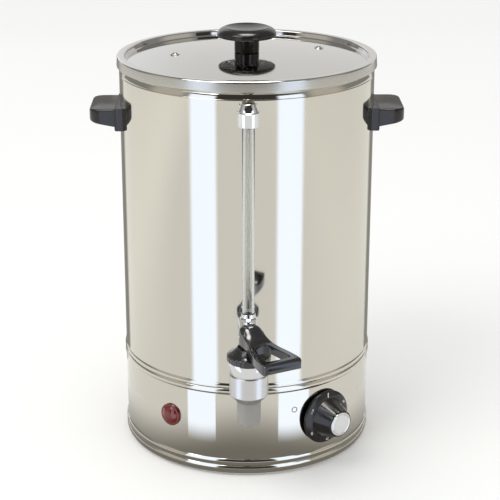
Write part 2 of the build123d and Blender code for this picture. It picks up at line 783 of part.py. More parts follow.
seal_end = 0.3
with BuildPart() as gauge_seals:
    for low in (glass_foot_z + seal_end, fitting_bottom_z + seal_end):
        with BuildSketch(Plane(origin=(0, gauge_y, low))):
            ring(glass_radius + gauge_seal + fit, glass_radius + fit)
        extrude(amount=cup_depth - 2 * seal_end)
finish_part(gauge_seals, "gauge_seals")

boss_radius = 7.0
boss_top = tap_shank_z + neck_radius + 3.5
riser_foot = tap_shank_z + shank_bore + 1.5
with BuildPart() as gauge_riser:
    with BuildSketch(Plane(origin=(0, gauge_y, 0), x_dir=(1, 0, 0), z_dir=(0, -1, 0))):
        with BuildLine():
            cup_low = glass_foot_z - 3.4
            Polyline(
                (0, riser_foot), (riser_radius - 0.4, riser_foot), (riser_radius - 0.4, boss_top),
                (riser_radius + 2.2, boss_top), (riser_radius + 2.2, boss_top + 3),
                (riser_radius, boss_top + 3.6), (riser_radius, cup_low),
            )
            ThreePointArc(
                (riser_radius, cup_low), (riser_radius + 1.9, cup_low + 1.1), (cup_radius, cup_low + 3.6)
            )
            Polyline(
                (cup_radius, cup_low + 3.6), (cup_radius, glass_foot_z + cup_depth - 0.3),
                (cup_radius - 0.3, glass_foot_z + cup_depth), (0, glass_foot_z + cup_depth),
                (0, riser_foot),
            )
        make_face()
    revolve(axis=Axis((0, gauge_y, 0), (0, 0, 1)))
    with BuildSketch(Plane(origin=(0, gauge_y, glass_foot_z))):
        Circle(glass_radius + gauge_seal + 2 * fit)
    extrude(amount=cup_depth + 1, mode=Mode.SUBTRACT)
    with BuildSketch(Plane(origin=(0, gauge_y, riser_foot - 1))):
        Circle(gauge_port_bore)
    extrude(amount=glass_foot_z - riser_foot + 2, mode=Mode.SUBTRACT)
finish_part(gauge_riser, "gauge_riser")

# ---------------------------------------------------------------- tap body
shank_end = wall_inside - shank_inside
flange_start = body_radius + gasket
tap_side = Plane(origin=(0, tap_y, 0), x_dir=(1, 0, 0), z_dir=(0, -1, 0))
tap_axis = Axis((0, tap_y, 0), (0, 0, 1))
with BuildPart() as tap_body:
    with BuildSketch(tap_side):
        with BuildLine():
            Polyline(
                (0, tap_bottom_z), (tap_radius - tap_chamfer + 0.8, tap_bottom_z),
                (tap_radius, tap_bottom_z + tap_chamfer), (tap_radius, tap_waist_z - 0.5),
                (tap_radius - 0.9, tap_waist_z), (tap_radius - 0.5, tap_waist_z + 0.6),
            )
            ThreePointArc(
                (tap_radius - 0.5, tap_waist_z + 0.6), (tap_top_radius - 1.1, tap_top_z - 6.5),
                (tap_top_radius - 0.1, tap_top_z - 0.6),
            )
            Polyline(
                (tap_top_radius - 0.1, tap_top_z - 0.6), (tap_top_radius - 1, tap_top_z),
                (0, tap_top_z), (0, tap_bottom_z),
            )
        make_face()
    revolve(axis=tap_axis)
    with BuildSketch(radial_plane(0, tap_shank_z, shank_end)):
        Circle(shank_radius)
    extrude(amount=-tap_y - shank_end)
    with BuildSketch(radial_plane(0, tap_shank_z, flange_start)):
        Circle(neck_radius)
    extrude(amount=-tap_y - flange_start)
    with BuildSketch(radial_plane(0, tap_shank_z, flange_start)):
        Circle(flange_radius)
    extrude(amount=flange_thickness)
    with BuildSketch(Plane(origin=(0, gauge_y, tap_shank_z))):
        Circle(boss_radius)
    extrude(amount=boss_top - tap_shank_z)
    # water ways: chamber, outlet with a raised seat, shank, gauge port, nozzle socket
    with BuildSketch(tap_side):
        with BuildLine():
            Polyline(
                (0, tap_bottom_z - 1), (spigot_radius + fit, tap_bottom_z - 1),
                (spigot_radius + fit, tap_bottom_z + spigot_length + fit),
                (tap_seat_radius, tap_bottom_z + spigot_length + fit),
                (tap_seat_radius, tap_seat_z), (tap_seat_radius + 1.2, tap_seat_z),
                (tap_seat_radius + 1.6, tap_seat_z - 1.0), (tap_bore, tap_seat_z - 1.0),
                (tap_bore, tap_top_z + 1), (0, tap_top_z + 1), close=True,
            )
        make_face()
    revolve(axis=tap_axis, mode=Mode.SUBTRACT)
    with BuildSketch(radial_plane(0, tap_shank_z, shank_end - 1)):
        Circle(shank_bore)
    extrude(amount=-tap_y - shank_end, mode=Mode.SUBTRACT)
    with BuildSketch(Plane(origin=(0, gauge_y, tap_shank_z))):
        Circle(gauge_port_bore)
    extrude(amount=boss_top - tap_shank_z + 1, mode=Mode.SUBTRACT)
    with BuildSketch(Plane(origin=(0, gauge_y, riser_foot - fit))):
        Circle(riser_radius - 0.4 + fit)
    extrude(amount=boss_top - riser_foot + 1, mode=Mode.SUBTRACT)
finish_part(tap_body, "tap_body")

with BuildPart() as tap_backnut:
    nut_back = flat_on_wall(flange_radius + 1, wall_inside) - 1.6 - backnut_height
    with BuildSketch(radial_plane(0, tap_shank_z, nut_back)):
        hex_ring(backnut_flats, shank_radius + fit)
    extrude(amount=backnut_height)
finish_part(tap_backnut, "tap_backnut")

# ---------------------------------------------------------------- nozzle
nozzle_tip_z = tap_bottom_z - nozzle_length
with BuildPart() as tap_nozzle:
    with BuildSketch(tap_side):
        with BuildLine():
            Polyline(
                (nozzle_bore - 1.2, tap_bottom_z + spigot_length), (spigot_radius, tap_bottom_z + spigot_length),
                (spigot_radius, tap_bottom_z - fit), (nozzle_radius, tap_bottom_z - fit),
                (nozzle_tip_radius, nozzle_tip_z + 2.0), (nozzle_tip_radius - 0.6, nozzle_tip_z + 0.6),
                (nozzle_tip_radius - 1.8, nozzle_tip_z),
                (nozzle_bore, nozzle_tip_z), (nozzle_bore, tap_bottom_z - 3),
                (nozzle_bore - 1.2, tap_bottom_z), close=True,
            )
        make_face()
    revolve(axis=tap_axis)
finish_part(tap_nozzle, "tap_nozzle")

# ---------------------------------------------------------------- bonnet and slip washer
rim_top = tap_top_z + bonnet_rim
with BuildPart() as tap_bonnet:
    with BuildSketch(tap_side):
        with BuildLine():
            Polyline(
                (0, tap_top_z - bonnet_plug), (tap_bore - fit, tap_top_z - bonnet_plug),
                (tap_bore - fit, tap_top_z + fit), (bonnet_radius - 1.0, tap_top_z + fit),
                (bonnet_radius, tap_top_z + 1.2), (bonnet_radius, rim_top - 0.8),
                (bonnet_radius - 1.2, rim_top), (bonnet_top_radius + 1.5, bonnet_top - 0.6),
                (bonnet_top_radius, bonnet_top), (0, bonnet_top), close=True,
            )
        make_face()
    revolve(axis=tap_axis)
    with BuildSketch(Plane(origin=(0, tap_y, tap_top_z - bonnet_plug - 1))):
        Circle(spring_chamber)
    extrude(amount=bonnet_plug + bonnet_rim + 3, mode=Mode.SUBTRACT)
    with BuildSketch(Plane(origin=(0, tap_y, tap_top_z))):
        Circle(stem_radius + running)
    extrude(amount=bonnet_top - tap_top_z + 1, mode=Mode.SUBTRACT)
    with BuildSketch(Plane(origin=(0, tap_y, tap_top_z - 1))):
        with PolarLocations(bonnet_radius + notch_radius / 2, bonnet_notches):
            Circle(notch_radius)
    extrude(amount=bonnet_rim, mode=Mode.SUBTRACT)
finish_part(tap_bonnet, "tap_bonnet")

with BuildPart() as slip_ring:
    with BuildSketch(Plane(origin=(0, tap_y, bonnet_top + running))):
        ring(slip_washer_radius, stem_radius + running)
    extrude(amount=slip_washer)
finish_part(slip_ring, "slip_ring")

# ---------------------------------------------------------------- stem, seat cup, spring and pin
collar_z = 131.0
collar_height = 1.6
collar_radius = 7.4
stem_foot = tap_seat_z + 4.0
stem_eye = Plane(origin=(0, tap_y, washer_top + running), x_dir=lever_forward, z_dir=(0, 0, 1))
eye_top = pin_z + stem_eye_rise
with BuildPart() as tap_stem:
    with BuildSketch(Plane(origin=(0, tap_y, stem_foot))):
        Circle(stem_radius)
    extrude(amount=washer_top + running + 1 - stem_foot)
    with BuildSketch(Plane(origin=(0, tap_y, collar_z))):
        Circle(collar_radius)
    extrude(amount=collar_height)
    with BuildSketch(stem_eye):
        Rectangle(stem_eye_length, stem_eye_width)
    extrude(amount=eye_top - washer_top - running)
    fillet(tap_stem.faces().sort_by(Axis.Z)[-1].edges().filter_by(
        lambda edge: edge.length < stem_eye_width + 0.1), 3.0)
    with BuildSketch(Plane(origin=Vector(0, tap_y, pin_z) - lever_across * stem_eye_width, z_dir=lever_across)):
        Circle(pin_radius + fit)
    extrude(amount=2 * stem_eye_width, mode=Mode.SUBTRACT)
finish_part(tap_stem, "tap_stem")

with BuildPart() as seat_cup:
    with BuildSketch(tap_side):
        with BuildLine():
            seat_low = tap_seat_z + running
            Polyline(
                (0, seat_low), (seat_cup_radius, seat_low), (seat_cup_radius, seat_low + 1.6),
                (seat_cup_radius - 1.4, seat_low + 2.6), (seat_cup_radius - 2.4, collar_z - fit),
                (stem_radius + fit, collar_z - fit), (stem_radius + fit, stem_foot - fit),
                (0, stem_foot - fit), close=True,
            )
        make_face()
    revolve(axis=tap_axis)
finish_part(seat_cup, "seat_cup")

spring_low = collar_z + collar_height + spring_wire + fit
spring_high = rim_top + 2.0 - spring_wire - running
with BuildPart() as tap_spring:
    with BuildLine():
        Helix(
            pitch=(spring_high - spring_low) / spring_turns, height=spring_high - spring_low,
            radius=spring_mean_radius, center=(0, tap_y, spring_low),
        )
    with BuildSketch(Plane(origin=(spring_mean_radius, tap_y, spring_low), z_dir=(0, 1, 0))):
        Circle(spring_wire)
    sweep(is_frenet=True)
finish_part(tap_spring, "tap_spring")

with BuildPart() as lever_pin:
    pin_half = lever_hub_half_width - 0.2
    with BuildSketch(Plane(origin=Vector(0, tap_y, pin_z) - lever_across * pin_half, z_dir=lever_across)):
        Circle(pin_radius)
    extrude(amount=2 * pin_half)
finish_part(lever_pin, "lever_pin")

# ---------------------------------------------------------------- lever
lever_side = Plane(
    origin=Vector(0, tap_y, pin_z) - lever_across * lever_half_width,
    x_dir=lever_forward, z_dir=-lever_across,
)
lever_plan = Plane(origin=(0, tap_y, pin_z - 40), x_dir=lever_forward, z_dir=(0, 0, 1))
heel_z = -(pin_rise - running)
heel_half = 8.2
hub_middle = 3.0             # middle of the hub's round back, in front of the pin
slot_half = 7.0
slot_roof = 6.0
notch_front = 5.6            # the fork is open upwards from here to the back
bar_z = -lever_drop
window_end = lever_reach - lever_bar_radius
lever_tip = lever_reach + lever_bar_radius
with BuildPart() as tap_lever:
    # side profile: round hub over a flat heel, arms that slope down and level out, round grip bar
    with BuildSketch(lever_side):
        with BuildLine():
            Polyline(
                (-heel_half, heel_z), (heel_half, heel_z), (22, heel_z - 2.0), (38, heel_z - 2.6),
                (lever_reach - 7, bar_z - 4.6),
            )
            ThreePointArc(
                (lever_reach - 7, bar_z - 4.6), (lever_reach - 1, bar_z - lever_bar_radius + 0.1),
                (lever_tip - 1.6, bar_z - 3.6),
            )
            ThreePointArc(
                (lever_tip - 1.6, bar_z - 3.6), (lever_tip, bar_z), (lever_tip - 1.6, bar_z + 3.6),
            )
            ThreePointArc(
                (lever_tip - 1.6, bar_z + 3.6), (lever_reach - 1, bar_z + lever_bar_radius - 0.1),
                (lever_reach - 7, bar_z + 5.0),
            )
            Line((lever_reach - 7, bar_z + 5.0), (34, -2.2))
            ThreePointArc((34, -2.2), (20.5, 0.6), (9.4, lever_hub_rise - 3.6))
            ThreePointArc(
                (9.4, lever_hub_rise - 3.6), (1.4, lever_hub_rise), (-heel_half, lever_hub_rise - 5.4),
            )
            Line((-heel_half, lever_hub_rise - 5.4), (-heel_half, heel_z))
        make_face()
    extrude(amount=-2 * lever_half_width)
    # plan outline: round-backed hub that flares to the width of the grip
    with BuildSketch(lever_plan):
        with BuildLine():
            ThreePointArc(
                (hub_middle, lever_hub_half_width), (hub_middle - lever_hub_half_width, 0),
                (hub_middle, -lever_hub_half_width),
            )
            for side in (1, -1):
                hub_edge = side * lever_hub_half_width
                grip_edge = side * lever_half_width
                Line((hub_middle, hub_edge), (11, hub_edge))
                Spline(
                    (11, hub_edge), (lever_reach - 17, grip_edge), tangents=((1, side * 0.04), (1, side * 0.12)),
                )
                Line((lever_reach - 17, grip_edge), (lever_tip - 6, grip_edge + side * 0.9))
                ThreePointArc(
                    (lever_tip - 6, grip_edge + side * 0.9), (lever_tip - 1.2, grip_edge - side * 0.6),
                    (lever_tip + 0.1, grip_edge - side * 5.5),
                )
            Line((lever_tip + 0.1, lever_half_width - 5.5), (lever_tip + 0.1, 5.5 - lever_half_width))
        make_face()
    extrude(amount=80, mode=Mode.INTERSECT)
    # finger window between the arms
    with BuildSketch(lever_plan):
        with BuildLine():
            FilletPolyline(
                (lever_window_start, lever_hub_half_width - 3.4),
                (lever_window_start, 3.4 - lever_hub_half_width),
                (window_end, lever_arm - lever_half_width), (window_end, lever_half_width - lever_arm),
                radius=2.6, close=True,
            )
        make_face()
    extrude(amount=80, mode=Mode.SUBTRACT)
    # fork slot for the eye of the stem, and the pin hole
    with BuildSketch(lever_plan):
        Rectangle(2 * slot_half, stem_eye_width + 2 * running)
    extrude(amount=40 + slot_roof, mode=Mode.SUBTRACT)
    with BuildSketch(lever_plan):
        with Locations((notch_front - 10, 0)):
            Rectangle(20, stem_eye_width + 2 * running)
    extrude(amount=60, mode=Mode.SUBTRACT)
    with BuildSketch(Plane(origin=Vector(0, tap_y, pin_z) - lever_across * 20, z_dir=lever_across)):
        Circle(pin_radius + fit)
    extrude(amount=40, mode=Mode.SUBTRACT)
finish_part(tap_lever, "tap_lever")

# ---------------------------------------------------------------- heating element
bend_z = element_z - element_bend
tail_z = floor_under - 8.6 - tail_length
collar_low = floor_z + gasket
with BuildPart() as heating_element:
    with BuildLine() as element_path:
        corner = element_bend * (1 - sqrt(0.5)) / element_bend
        for side in (1, -1):
            leg_foot = Vector(side * element_leg_x, element_leg_y, collar_low)
            leg_head = Vector(side * element_leg_x, element_leg_y, bend_z)
            ring_end = Vector(side * element_gap_half, element_ring_y, element_z)
            run = ring_end - leg_head
            bend_mid = leg_head + Vector(run.X * corner, run.Y * corner, run.Z * sqrt(0.5))
            Line(leg_foot, leg_head)
            ThreePointArc(leg_head, bend_mid, ring_end)
        ThreePointArc(
            (element_gap_half, element_ring_y, element_z), (0, -element_ring, element_z),
            (-element_gap_half, element_ring_y, element_z),
        )
    with BuildSketch(Plane(origin=(element_leg_x, element_leg_y, collar_low), z_dir=(0, 0, 1))) as tube:
        Circle(element_tube)
    sweep(sections=tube.sketch, path=element_path.wire())
    with BuildSketch(Plane.XY.offset(floor_under - 8.6)):
        with Locations(*leg_places):
            Circle(element_bush)
    extrude(amount=collar_low + 2.0 - floor_under + 8.6)
    with BuildSketch(Plane.XY.offset(collar_low)):
        with Locations(*leg_places):
            Circle(element_bush + 3.0)
    extrude(amount=2.0)
    with BuildSketch(Plane.XY.offset(tail_z)):
        with Locations(*leg_places):
            Circle(element_tube / 2)
    extrude(amount=tail_length)
finish_part(heating_element, "heating_element")

with BuildPart() as element_seals:
    with BuildSketch(Plane.XY.offset(floor_z + fit)):
        with Locations(*leg_places):
            ring(element_bush + 2.6, element_bush + fit)
    extrude(amount=gasket - 2 * fit)
finish_part(element_seals, "element_seals")

with BuildPart() as element_nuts:
    for place in leg_places:
        with BuildSketch(Plane(origin=(place[0], place[1], floor_under - 6.0))):
            hex_ring(element_nut_flats, element_bush + fit)
        extrude(amount=6.0)
finish_part(element_nuts, "element_nuts")

# ---------------------------------------------------------------- thermostat
bracket_face = flat_on_wall(bracket_half_width, wall_inside) - fit
bracket_back = bracket_face - bracket_sheet
thermostat_back = bracket_back - thermostat_depth
with BuildPart() as thermostat_bracket:
    with BuildSketch(radial_plane(dial_azimuth, control_z, bracket_back)):
        Rectangle(2 * bracket_half_width, bracket_height)
        Circle(spindle_hole, mode=Mode.SUBTRACT)
        with GridLocations(28, 0, 2, 1):
            Circle(handle_screw_radius + thread_gap, mode=Mode.SUBTRACT)
    extrude(amount=bracket_sheet)
finish_part(thermostat_bracket, "thermostat_bracket")

screw_bite = 6.0
with BuildPart() as thermostat_screws:
    with BuildSketch(radial_plane(dial_azimuth, control_z, bracket_face)):
        with GridLocations(28, 0, 2, 1):
            Circle(3.4)
    extrude(amount=1.4)
    with BuildSketch(radial_plane(dial_azimuth, control_z, bracket_back - screw_bite)):
        with GridLocations(28, 0, 2, 1):
            Circle(handle_screw_radius)
    extrude(amount=screw_bite + bracket_sheet)
finish_part(thermostat_screws, "thermostat_screws")

spindle_bearing = 8.0
with BuildPart() as thermostat_body:
    with BuildSketch(radial_plane(dial_azimuth, control_z, thermostat_back)):
        RectangleRounded(thermostat_width, thermostat_height, 2.5)
    extrude(amount=thermostat_depth)
    with BuildSketch(radial_plane(dial_azimuth, control_z, bracket_back - screw_bite - 0.5)):
        with GridLocations(28, 0, 2, 1):
            Circle(handle_screw_radius + thread_gap)
    extrude(amount=screw_bite + 1, mode=Mode.SUBTRACT)
    with BuildSketch(radial_plane(dial_azimuth, control_z, bracket_back - spindle_bearing)):
        Circle(spindle_radius + thread_gap)
    extrude(amount=spindle_bearing + 1, mode=Mode.SUBTRACT)
finish_part(thermostat_body, "thermostat_body")

dial_back = body_radius + dial_stand_off
hub_back = dial_back + dial_skirt
hub_front = body_radius + dial_reach
spindle_end = dial_back + 15.0
with BuildPart() as thermostat_spindle:
    with BuildSketch(radial_plane(dial_azimuth, control_z, bracket_back - spindle_bearing + running)):
        Circle(spindle_radius)
    extrude(amount=spindle_end - bracket_back + spindle_bearing - running)
    with BuildSketch(radial_plane(dial_azimuth, control_z, dial_back + 2)):
        with Locations((0, 2 * spindle_radius - spindle_flat)):
            Rectangle(4 * spindle_radius, 2 * spindle_radius)
    extrude(amount=20, mode=Mode.SUBTRACT)
finish_part(thermostat_spindle, "thermostat_spindle")

with BuildPart() as thermostat_knob:
    with BuildSketch(radial_plane(dial_azimuth, control_z, dial_back)):
        Circle(dial_radius)
    extrude(amount=dial_skirt / 2)
    with BuildSketch(radial_plane(dial_azimuth, control_z, dial_back + dial_skirt / 2)):
        Circle(dial_radius)
    with BuildSketch(radial_plane(dial_azimuth, control_z, hub_back + 1.2)):
        Circle(dial_radius - 4.6)
    loft()
    with BuildSketch(radial_plane(dial_azimuth, control_z, hub_back + 1.2)):
        Circle(dial_hub_base)
    with BuildSketch(radial_plane(dial_azimuth, control_z, hub_front)):
        Circle(dial_hub_front)
    loft()
    # shallow bed of the metal cap
    with BuildSketch(radial_plane(dial_azimuth, control_z, hub_front - dial_cap_height)):
        Circle(dial_cap_radius + fit)
    extrude(amount=dial_cap_height + 1, mode=Mode.SUBTRACT)
    # socket for the flatted spindle
    with BuildSketch(radial_plane(dial_azimuth, control_z, dial_back - 1)):
        Circle(spindle_radius + fit)
        with Locations((0, 2 * spindle_radius - spindle_flat + 2 * fit)):
            Rectangle(4 * spindle_radius, 2 * spindle_radius, mode=Mode.SUBTRACT)
    extrude(amount=spindle_end - dial_back + 2, mode=Mode.SUBTRACT)
    with BuildSketch(radial_plane(dial_azimuth, control_z, dial_back - 1)):
        Circle(spindle_radius + fit)
    extrude(amount=3 + fit, mode=Mode.SUBTRACT)
finish_part(thermostat_knob, "thermostat_knob")

with BuildPart() as knob_cap:
    with BuildSketch(radial_plane(dial_azimuth, control_z, hub_front - dial_cap_height + fit)):
        Circle(dial_cap_radius)
    extrude(amount=dial_cap_height + 0.5)
    cap_axis = Axis((0, 0, 0), radial_plane(dial_azimuth, control_z).z_dir)
    fillet(knob_cap.faces().sort_by(cap_axis)[-1].edges(), 0.5)
finish_part(knob_cap, "knob_cap")

bulb_z = floor_under - fit - bulb_radius
capillary_bend = 7.0
capillary_start = radial_plane(dial_azimuth, control_z - 6, thermostat_back).origin
capillary_lead = radial_plane(dial_azimuth, control_z - 6, thermostat_back - 18).origin
capillary_x = bulb_half_length + 16.0
with BuildPart() as sensor_bulb:
    with BuildSketch(Plane(origin=(-bulb_half_length, bulb_y, bulb_z), z_dir=(1, 0, 0))):
        Circle(bulb_radius)
    extrude(amount=2 * bulb_half_length)
    with BuildLine():
        FilletPolyline(
            (bulb_half_length - 1, bulb_y, bulb_z), (capillary_x, bulb_y, bulb_z),
            (capillary_x - 2, bulb_y - 14, bulb_z - 24), capillary_lead, capillary_start,
            radius=capillary_bend,
        )
    with BuildSketch(Plane(origin=(bulb_half_length - 1, bulb_y, bulb_z), z_dir=(1, 0, 0))):
        Circle(capillary_radius)
    sweep(transition=Transition.ROUND)
finish_part(sensor_bulb, "sensor_bulb")

clip_sheet = 0.8
clip_half = 6.0
with BuildPart() as bulb_clip:
    with BuildSketch(Plane(origin=(-clip_half, bulb_y, bulb_z), x_dir=(0, 1, 0), z_dir=(1, 0, 0))):
        with BuildLine():
            grip = bulb_radius + fit
            shell = grip + clip_sheet
            lug = floor_under - bulb_z - fit
            Line((-shell - 7, lug), (-shell - 7, lug - clip_sheet))
            Line((-shell - 7, lug - clip_sheet), (-shell, lug - clip_sheet))
            Line((-shell, lug - clip_sheet), (-shell, 0))
            ThreePointArc((-shell, 0), (0, -shell), (shell, 0))
            Line((shell, 0), (shell, lug - clip_sheet))
            Line((shell, lug - clip_sheet), (shell + 7, lug - clip_sheet))
            Line((shell + 7, lug - clip_sheet), (shell + 7, lug))
            Line((shell + 7, lug), (grip, lug))
            Line((grip, lug), (grip, 0))
            ThreePointArc((grip, 0), (0, -grip), (-grip, 0))
            Line((-grip, 0), (-grip, lug))
            Line((-grip, lug), (-shell - 7, lug))
        make_face()
    extrude(amount=2 * clip_half)
finish_part(bulb_clip, "bulb_clip")

# ---------------------------------------------------------------- pilot lamp
lamp_face = body_radius + fit
lamp_front = flat_on_wall(lamp_body_radius, body_radius) - fit
lamp_seat = flat_on_wall(lamp_nut_radius, wall_inside) - fit
with BuildPart() as lamp_lens:
    with BuildSketch(radial_plane(lamp_azimuth, lamp_z, body_radius - 2)):
        Circle(lamp_radius)
    extrude(amount=lamp_flange + 2)
    with BuildSketch(radial_plane(lamp_azimuth, lamp_z, body_radius + lamp_flange)):
        Circle(lamp_radius - 1.6)
    with BuildSketch(radial_plane(lamp_azimuth, lamp_z, body_radius + lamp_flange + lamp_dome)):
        Circle(lamp_radius - 4.8)
    loft()
    with BuildSketch(Plane.XY.offset(lamp_z - 2 * lamp_radius)):
        Circle(lamp_face)
    extrude(amount=4 * lamp_radius, mode=Mode.SUBTRACT)
    with BuildSketch(radial_plane(lamp_azimuth, lamp_z, body_radius - 4)):
        Circle(lamp_body_radius - 1.4)
    extrude(amount=4 + lamp_flange, mode=Mode.SUBTRACT)
finish_part(lamp_lens, "lamp_lens")

with BuildPart() as lamp_body:
    with BuildSketch(radial_plane(lamp_azimuth, lamp_z, body_radius - lamp_body_length)):
        Circle(lamp_body_radius)
    extrude(amount=lamp_front - body_radius + lamp_body_length)
    with BuildSketch(radial_plane(lamp_azimuth, lamp_z, lamp_front)):
        Circle(lamp_body_radius - 1.4 - 2 * fit)
    extrude(amount=body_radius + lamp_flange - 2 * fit - lamp_front)
    with BuildSketch(radial_plane(lamp_azimuth, lamp_z, body_radius - lamp_body_length - 6)):
        with GridLocations(8, 0, 2, 1):
            Rectangle(0.8, 4.8)
    extrude(amount=7)
finish_part(lamp_body, "lamp_body")

with BuildPart() as lamp_nut:
    with BuildSketch(radial_plane(lamp_azimuth, lamp_z, lamp_seat - lamp_nut_height)):
        ring(lamp_nut_radius, lamp_body_radius + fit)
    extrude(amount=lamp_nut_height)
finish_part(lamp_nut, "lamp_nut")

# ---------------------------------------------------------------- dry-boil cut-out and reset rod
rod_guide = 10.0
cutout_z = floor_under - fit - cutout_height
with BuildPart() as cutout_body:
    with BuildSketch(Plane(origin=(cutout_place[0], cutout_place[1], cutout_z))):
        Circle(cutout_radius)
    extrude(amount=cutout_height)
    with BuildSketch(Plane(origin=(cutout_place[0], cutout_place[1], floor_under - fit - 1.4))):
        Circle(cutout_flange)
    extrude(amount=1.4)
    with BuildSketch(Plane(origin=(cutout_place[0], cutout_place[1], cutout_z - 6))):
        Circle(reset_rod_radius + 2.4)
    extrude(amount=6)
    with BuildSketch(Plane(origin=(cutout_place[0], cutout_place[1], cutout_z - 7))):
        Circle(reset_rod_radius + running)
    extrude(amount=rod_guide + 3, mode=Mode.SUBTRACT)
finish_part(cutout_body, "cutout_body")

reset_z = plate_top - sheet - reset_drop
with BuildPart() as reset_button:
    with BuildSketch(Plane(origin=(cutout_place[0], cutout_place[1], reset_z))):
        Circle(reset_cap_radius)
    extrude(amount=reset_cap_height)
    with BuildSketch(Plane(origin=(cutout_place[0], cutout_place[1], reset_z))):
        Circle(reset_rod_radius)
    extrude(amount=cutout_z - reset_z + 1)
    fillet(reset_button.faces().sort_by(Axis.Z)[0].edges(), 0.8)
finish_part(reset_button, "reset_button")

# ---------------------------------------------------------------- mains inlet
inlet_front = body_radius + inlet_flange_reach
inlet_back = inlet_front - inlet_depth - inlet_flange_reach
socket_floor = inlet_front - inlet_socket_depth
with BuildPart() as inlet_housing:
    with BuildSketch(radial_plane(180, inlet_z, body_radius - 8)):
        RectangleRounded(2 * inlet_flange_half_width, 2 * inlet_flange_half_height, 4)
    extrude(amount=inlet_flange_reach + 8)
    with BuildSketch(Plane.XY.offset(inlet_z - 2 * inlet_flange_half_height)):
        Circle(body_radius + fit)
    extrude(amount=4 * inlet_flange_half_height, mode=Mode.SUBTRACT)
    with BuildSketch(radial_plane(180, inlet_z, inlet_back)):
        Rectangle(2 * inlet_half_width, 2 * inlet_half_height)
    extrude(amount=inlet_depth)
    with BuildSketch(radial_plane(180, inlet_z, socket_floor)):
        RectangleRounded(2 * (inlet_half_width - inlet_wall), 2 * (inlet_half_height - inlet_wall), 3)
    extrude(amount=inlet_socket_depth + 1, mode=Mode.SUBTRACT)
    with BuildSketch(radial_plane(180, inlet_z, inlet_back - 1)):
        with Locations((inlet_pitch, -2), (-inlet_pitch, -2), (0, 2)):
            Rectangle(2.2, 4.2)
    extrude(amount=inlet_depth + inlet_flange_reach, mode=Mode.SUBTRACT)
    with BuildSketch(radial_plane(180, inlet_z, body_radius - 10)):
        with GridLocations(2 * inlet_screw_place, 0, 2, 1):
            Circle(inlet_screw_radius + thread_gap)
    extrude(amount=20, mode=Mode.SUBTRACT)
finish_part(inlet_housing, "inlet_housing")

pin_tail = 6.0
pin_recess = 6.4
with BuildPart() as inlet_pins:
    with BuildSketch(radial_plane(180, inlet_z, inlet_back - pin_tail)):
        with Locations((inlet_pitch, -2), (-inlet_pitch, -2), (0, 2)):
            Rectangle(2.1, 4.1)
    extrude(amount=inlet_front - pin_recess - inlet_back + pin_tail)
finish_part(inlet_pins, "inlet_pins")

screw_back = flat_on_wall(inlet_screw_place + 3.5, wall_inside) - nut_height
with BuildPart() as inlet_screws:
    with BuildSketch(radial_plane(180, inlet_z, inlet_front)):
        with GridLocations(2 * inlet_screw_place, 0, 2, 1):
            Circle(2 * inlet_screw_radius)
    extrude(amount=1.6)
    with BuildSketch(radial_plane(180, inlet_z, screw_back - 1)):
        with GridLocations(2 * inlet_screw_place, 0, 2, 1):
            Circle(inlet_screw_radius)
    extrude(amount=inlet_front - screw_back + 1)
finish_part(inlet_screws, "inlet_screws")

with BuildPart() as inlet_nuts:
    with BuildSketch(radial_plane(180, inlet_z, screw_back)):
        with GridLocations(2 * inlet_screw_place, 0, 2, 1):
            hex_ring(6.5, inlet_screw_radius + thread_gap)
    extrude(amount=nut_height - fit)
finish_part(inlet_nuts, "inlet_nuts")

# ---------------------------------------------------------------- terminal block and earth stud
with BuildPart() as terminal_block:
    with BuildSketch(Plane(origin=(0, terminal_y, plate_top + fit))):
        Rectangle(terminal_size[0], terminal_size[1])
    extrude(amount=terminal_size[2])
    with BuildSketch(Plane(origin=(0, terminal_y, plate_top + terminal_size[2] - 4))):
        with GridLocations(terminal_pitch, 0, 3, 1):
            Circle(2.6)
    extrude(amount=6, mode=Mode.SUBTRACT)
finish_part(terminal_block, "terminal_block")

with BuildPart() as terminal_screws:
    with BuildSketch(Plane(origin=(0, terminal_y, plate_top + terminal_size[2] - 4 + fit))):
        with GridLocations(terminal_pitch, 0, 3, 1):
            Circle(2.4)
    extrude(amount=3.0)
finish_part(terminal_screws, "terminal_screws")

with BuildPart() as earth_stud:
    with BuildSketch(Plane(origin=(earth_place[0], earth_place[1], plate_top))):
        Circle(handle_screw_radius)
    extrude(amount=12)
    with BuildSketch(Plane(origin=(earth_place[0], earth_place[1], plate_top))):
        RegularPolygon(3.5, 6, major_radius=False)
    extrude(amount=3.2)
finish_part(earth_stud, "earth_stud")

# ---------------------------------------------------------------- internal leads
terminal_back = terminal_y + terminal_size[1] / 2
terminal_front = terminal_y - terminal_size[1] / 2
lead_z = plate_top + 6.0
inlet_tail = inlet_back - pin_tail
lamp_tail = body_radius - lamp_body_length - 6
lamp_out = radial_plane(lamp_azimuth, lamp_z)
dial_out = radial_plane(dial_azimuth, control_z)


def from_plane(plane, across, up, out):
    """World point given along the wall, upwards and outwards from a radial plane."""
    return plane.origin + plane.x_dir * across + plane.y_dir * up + plane.z_dir * out


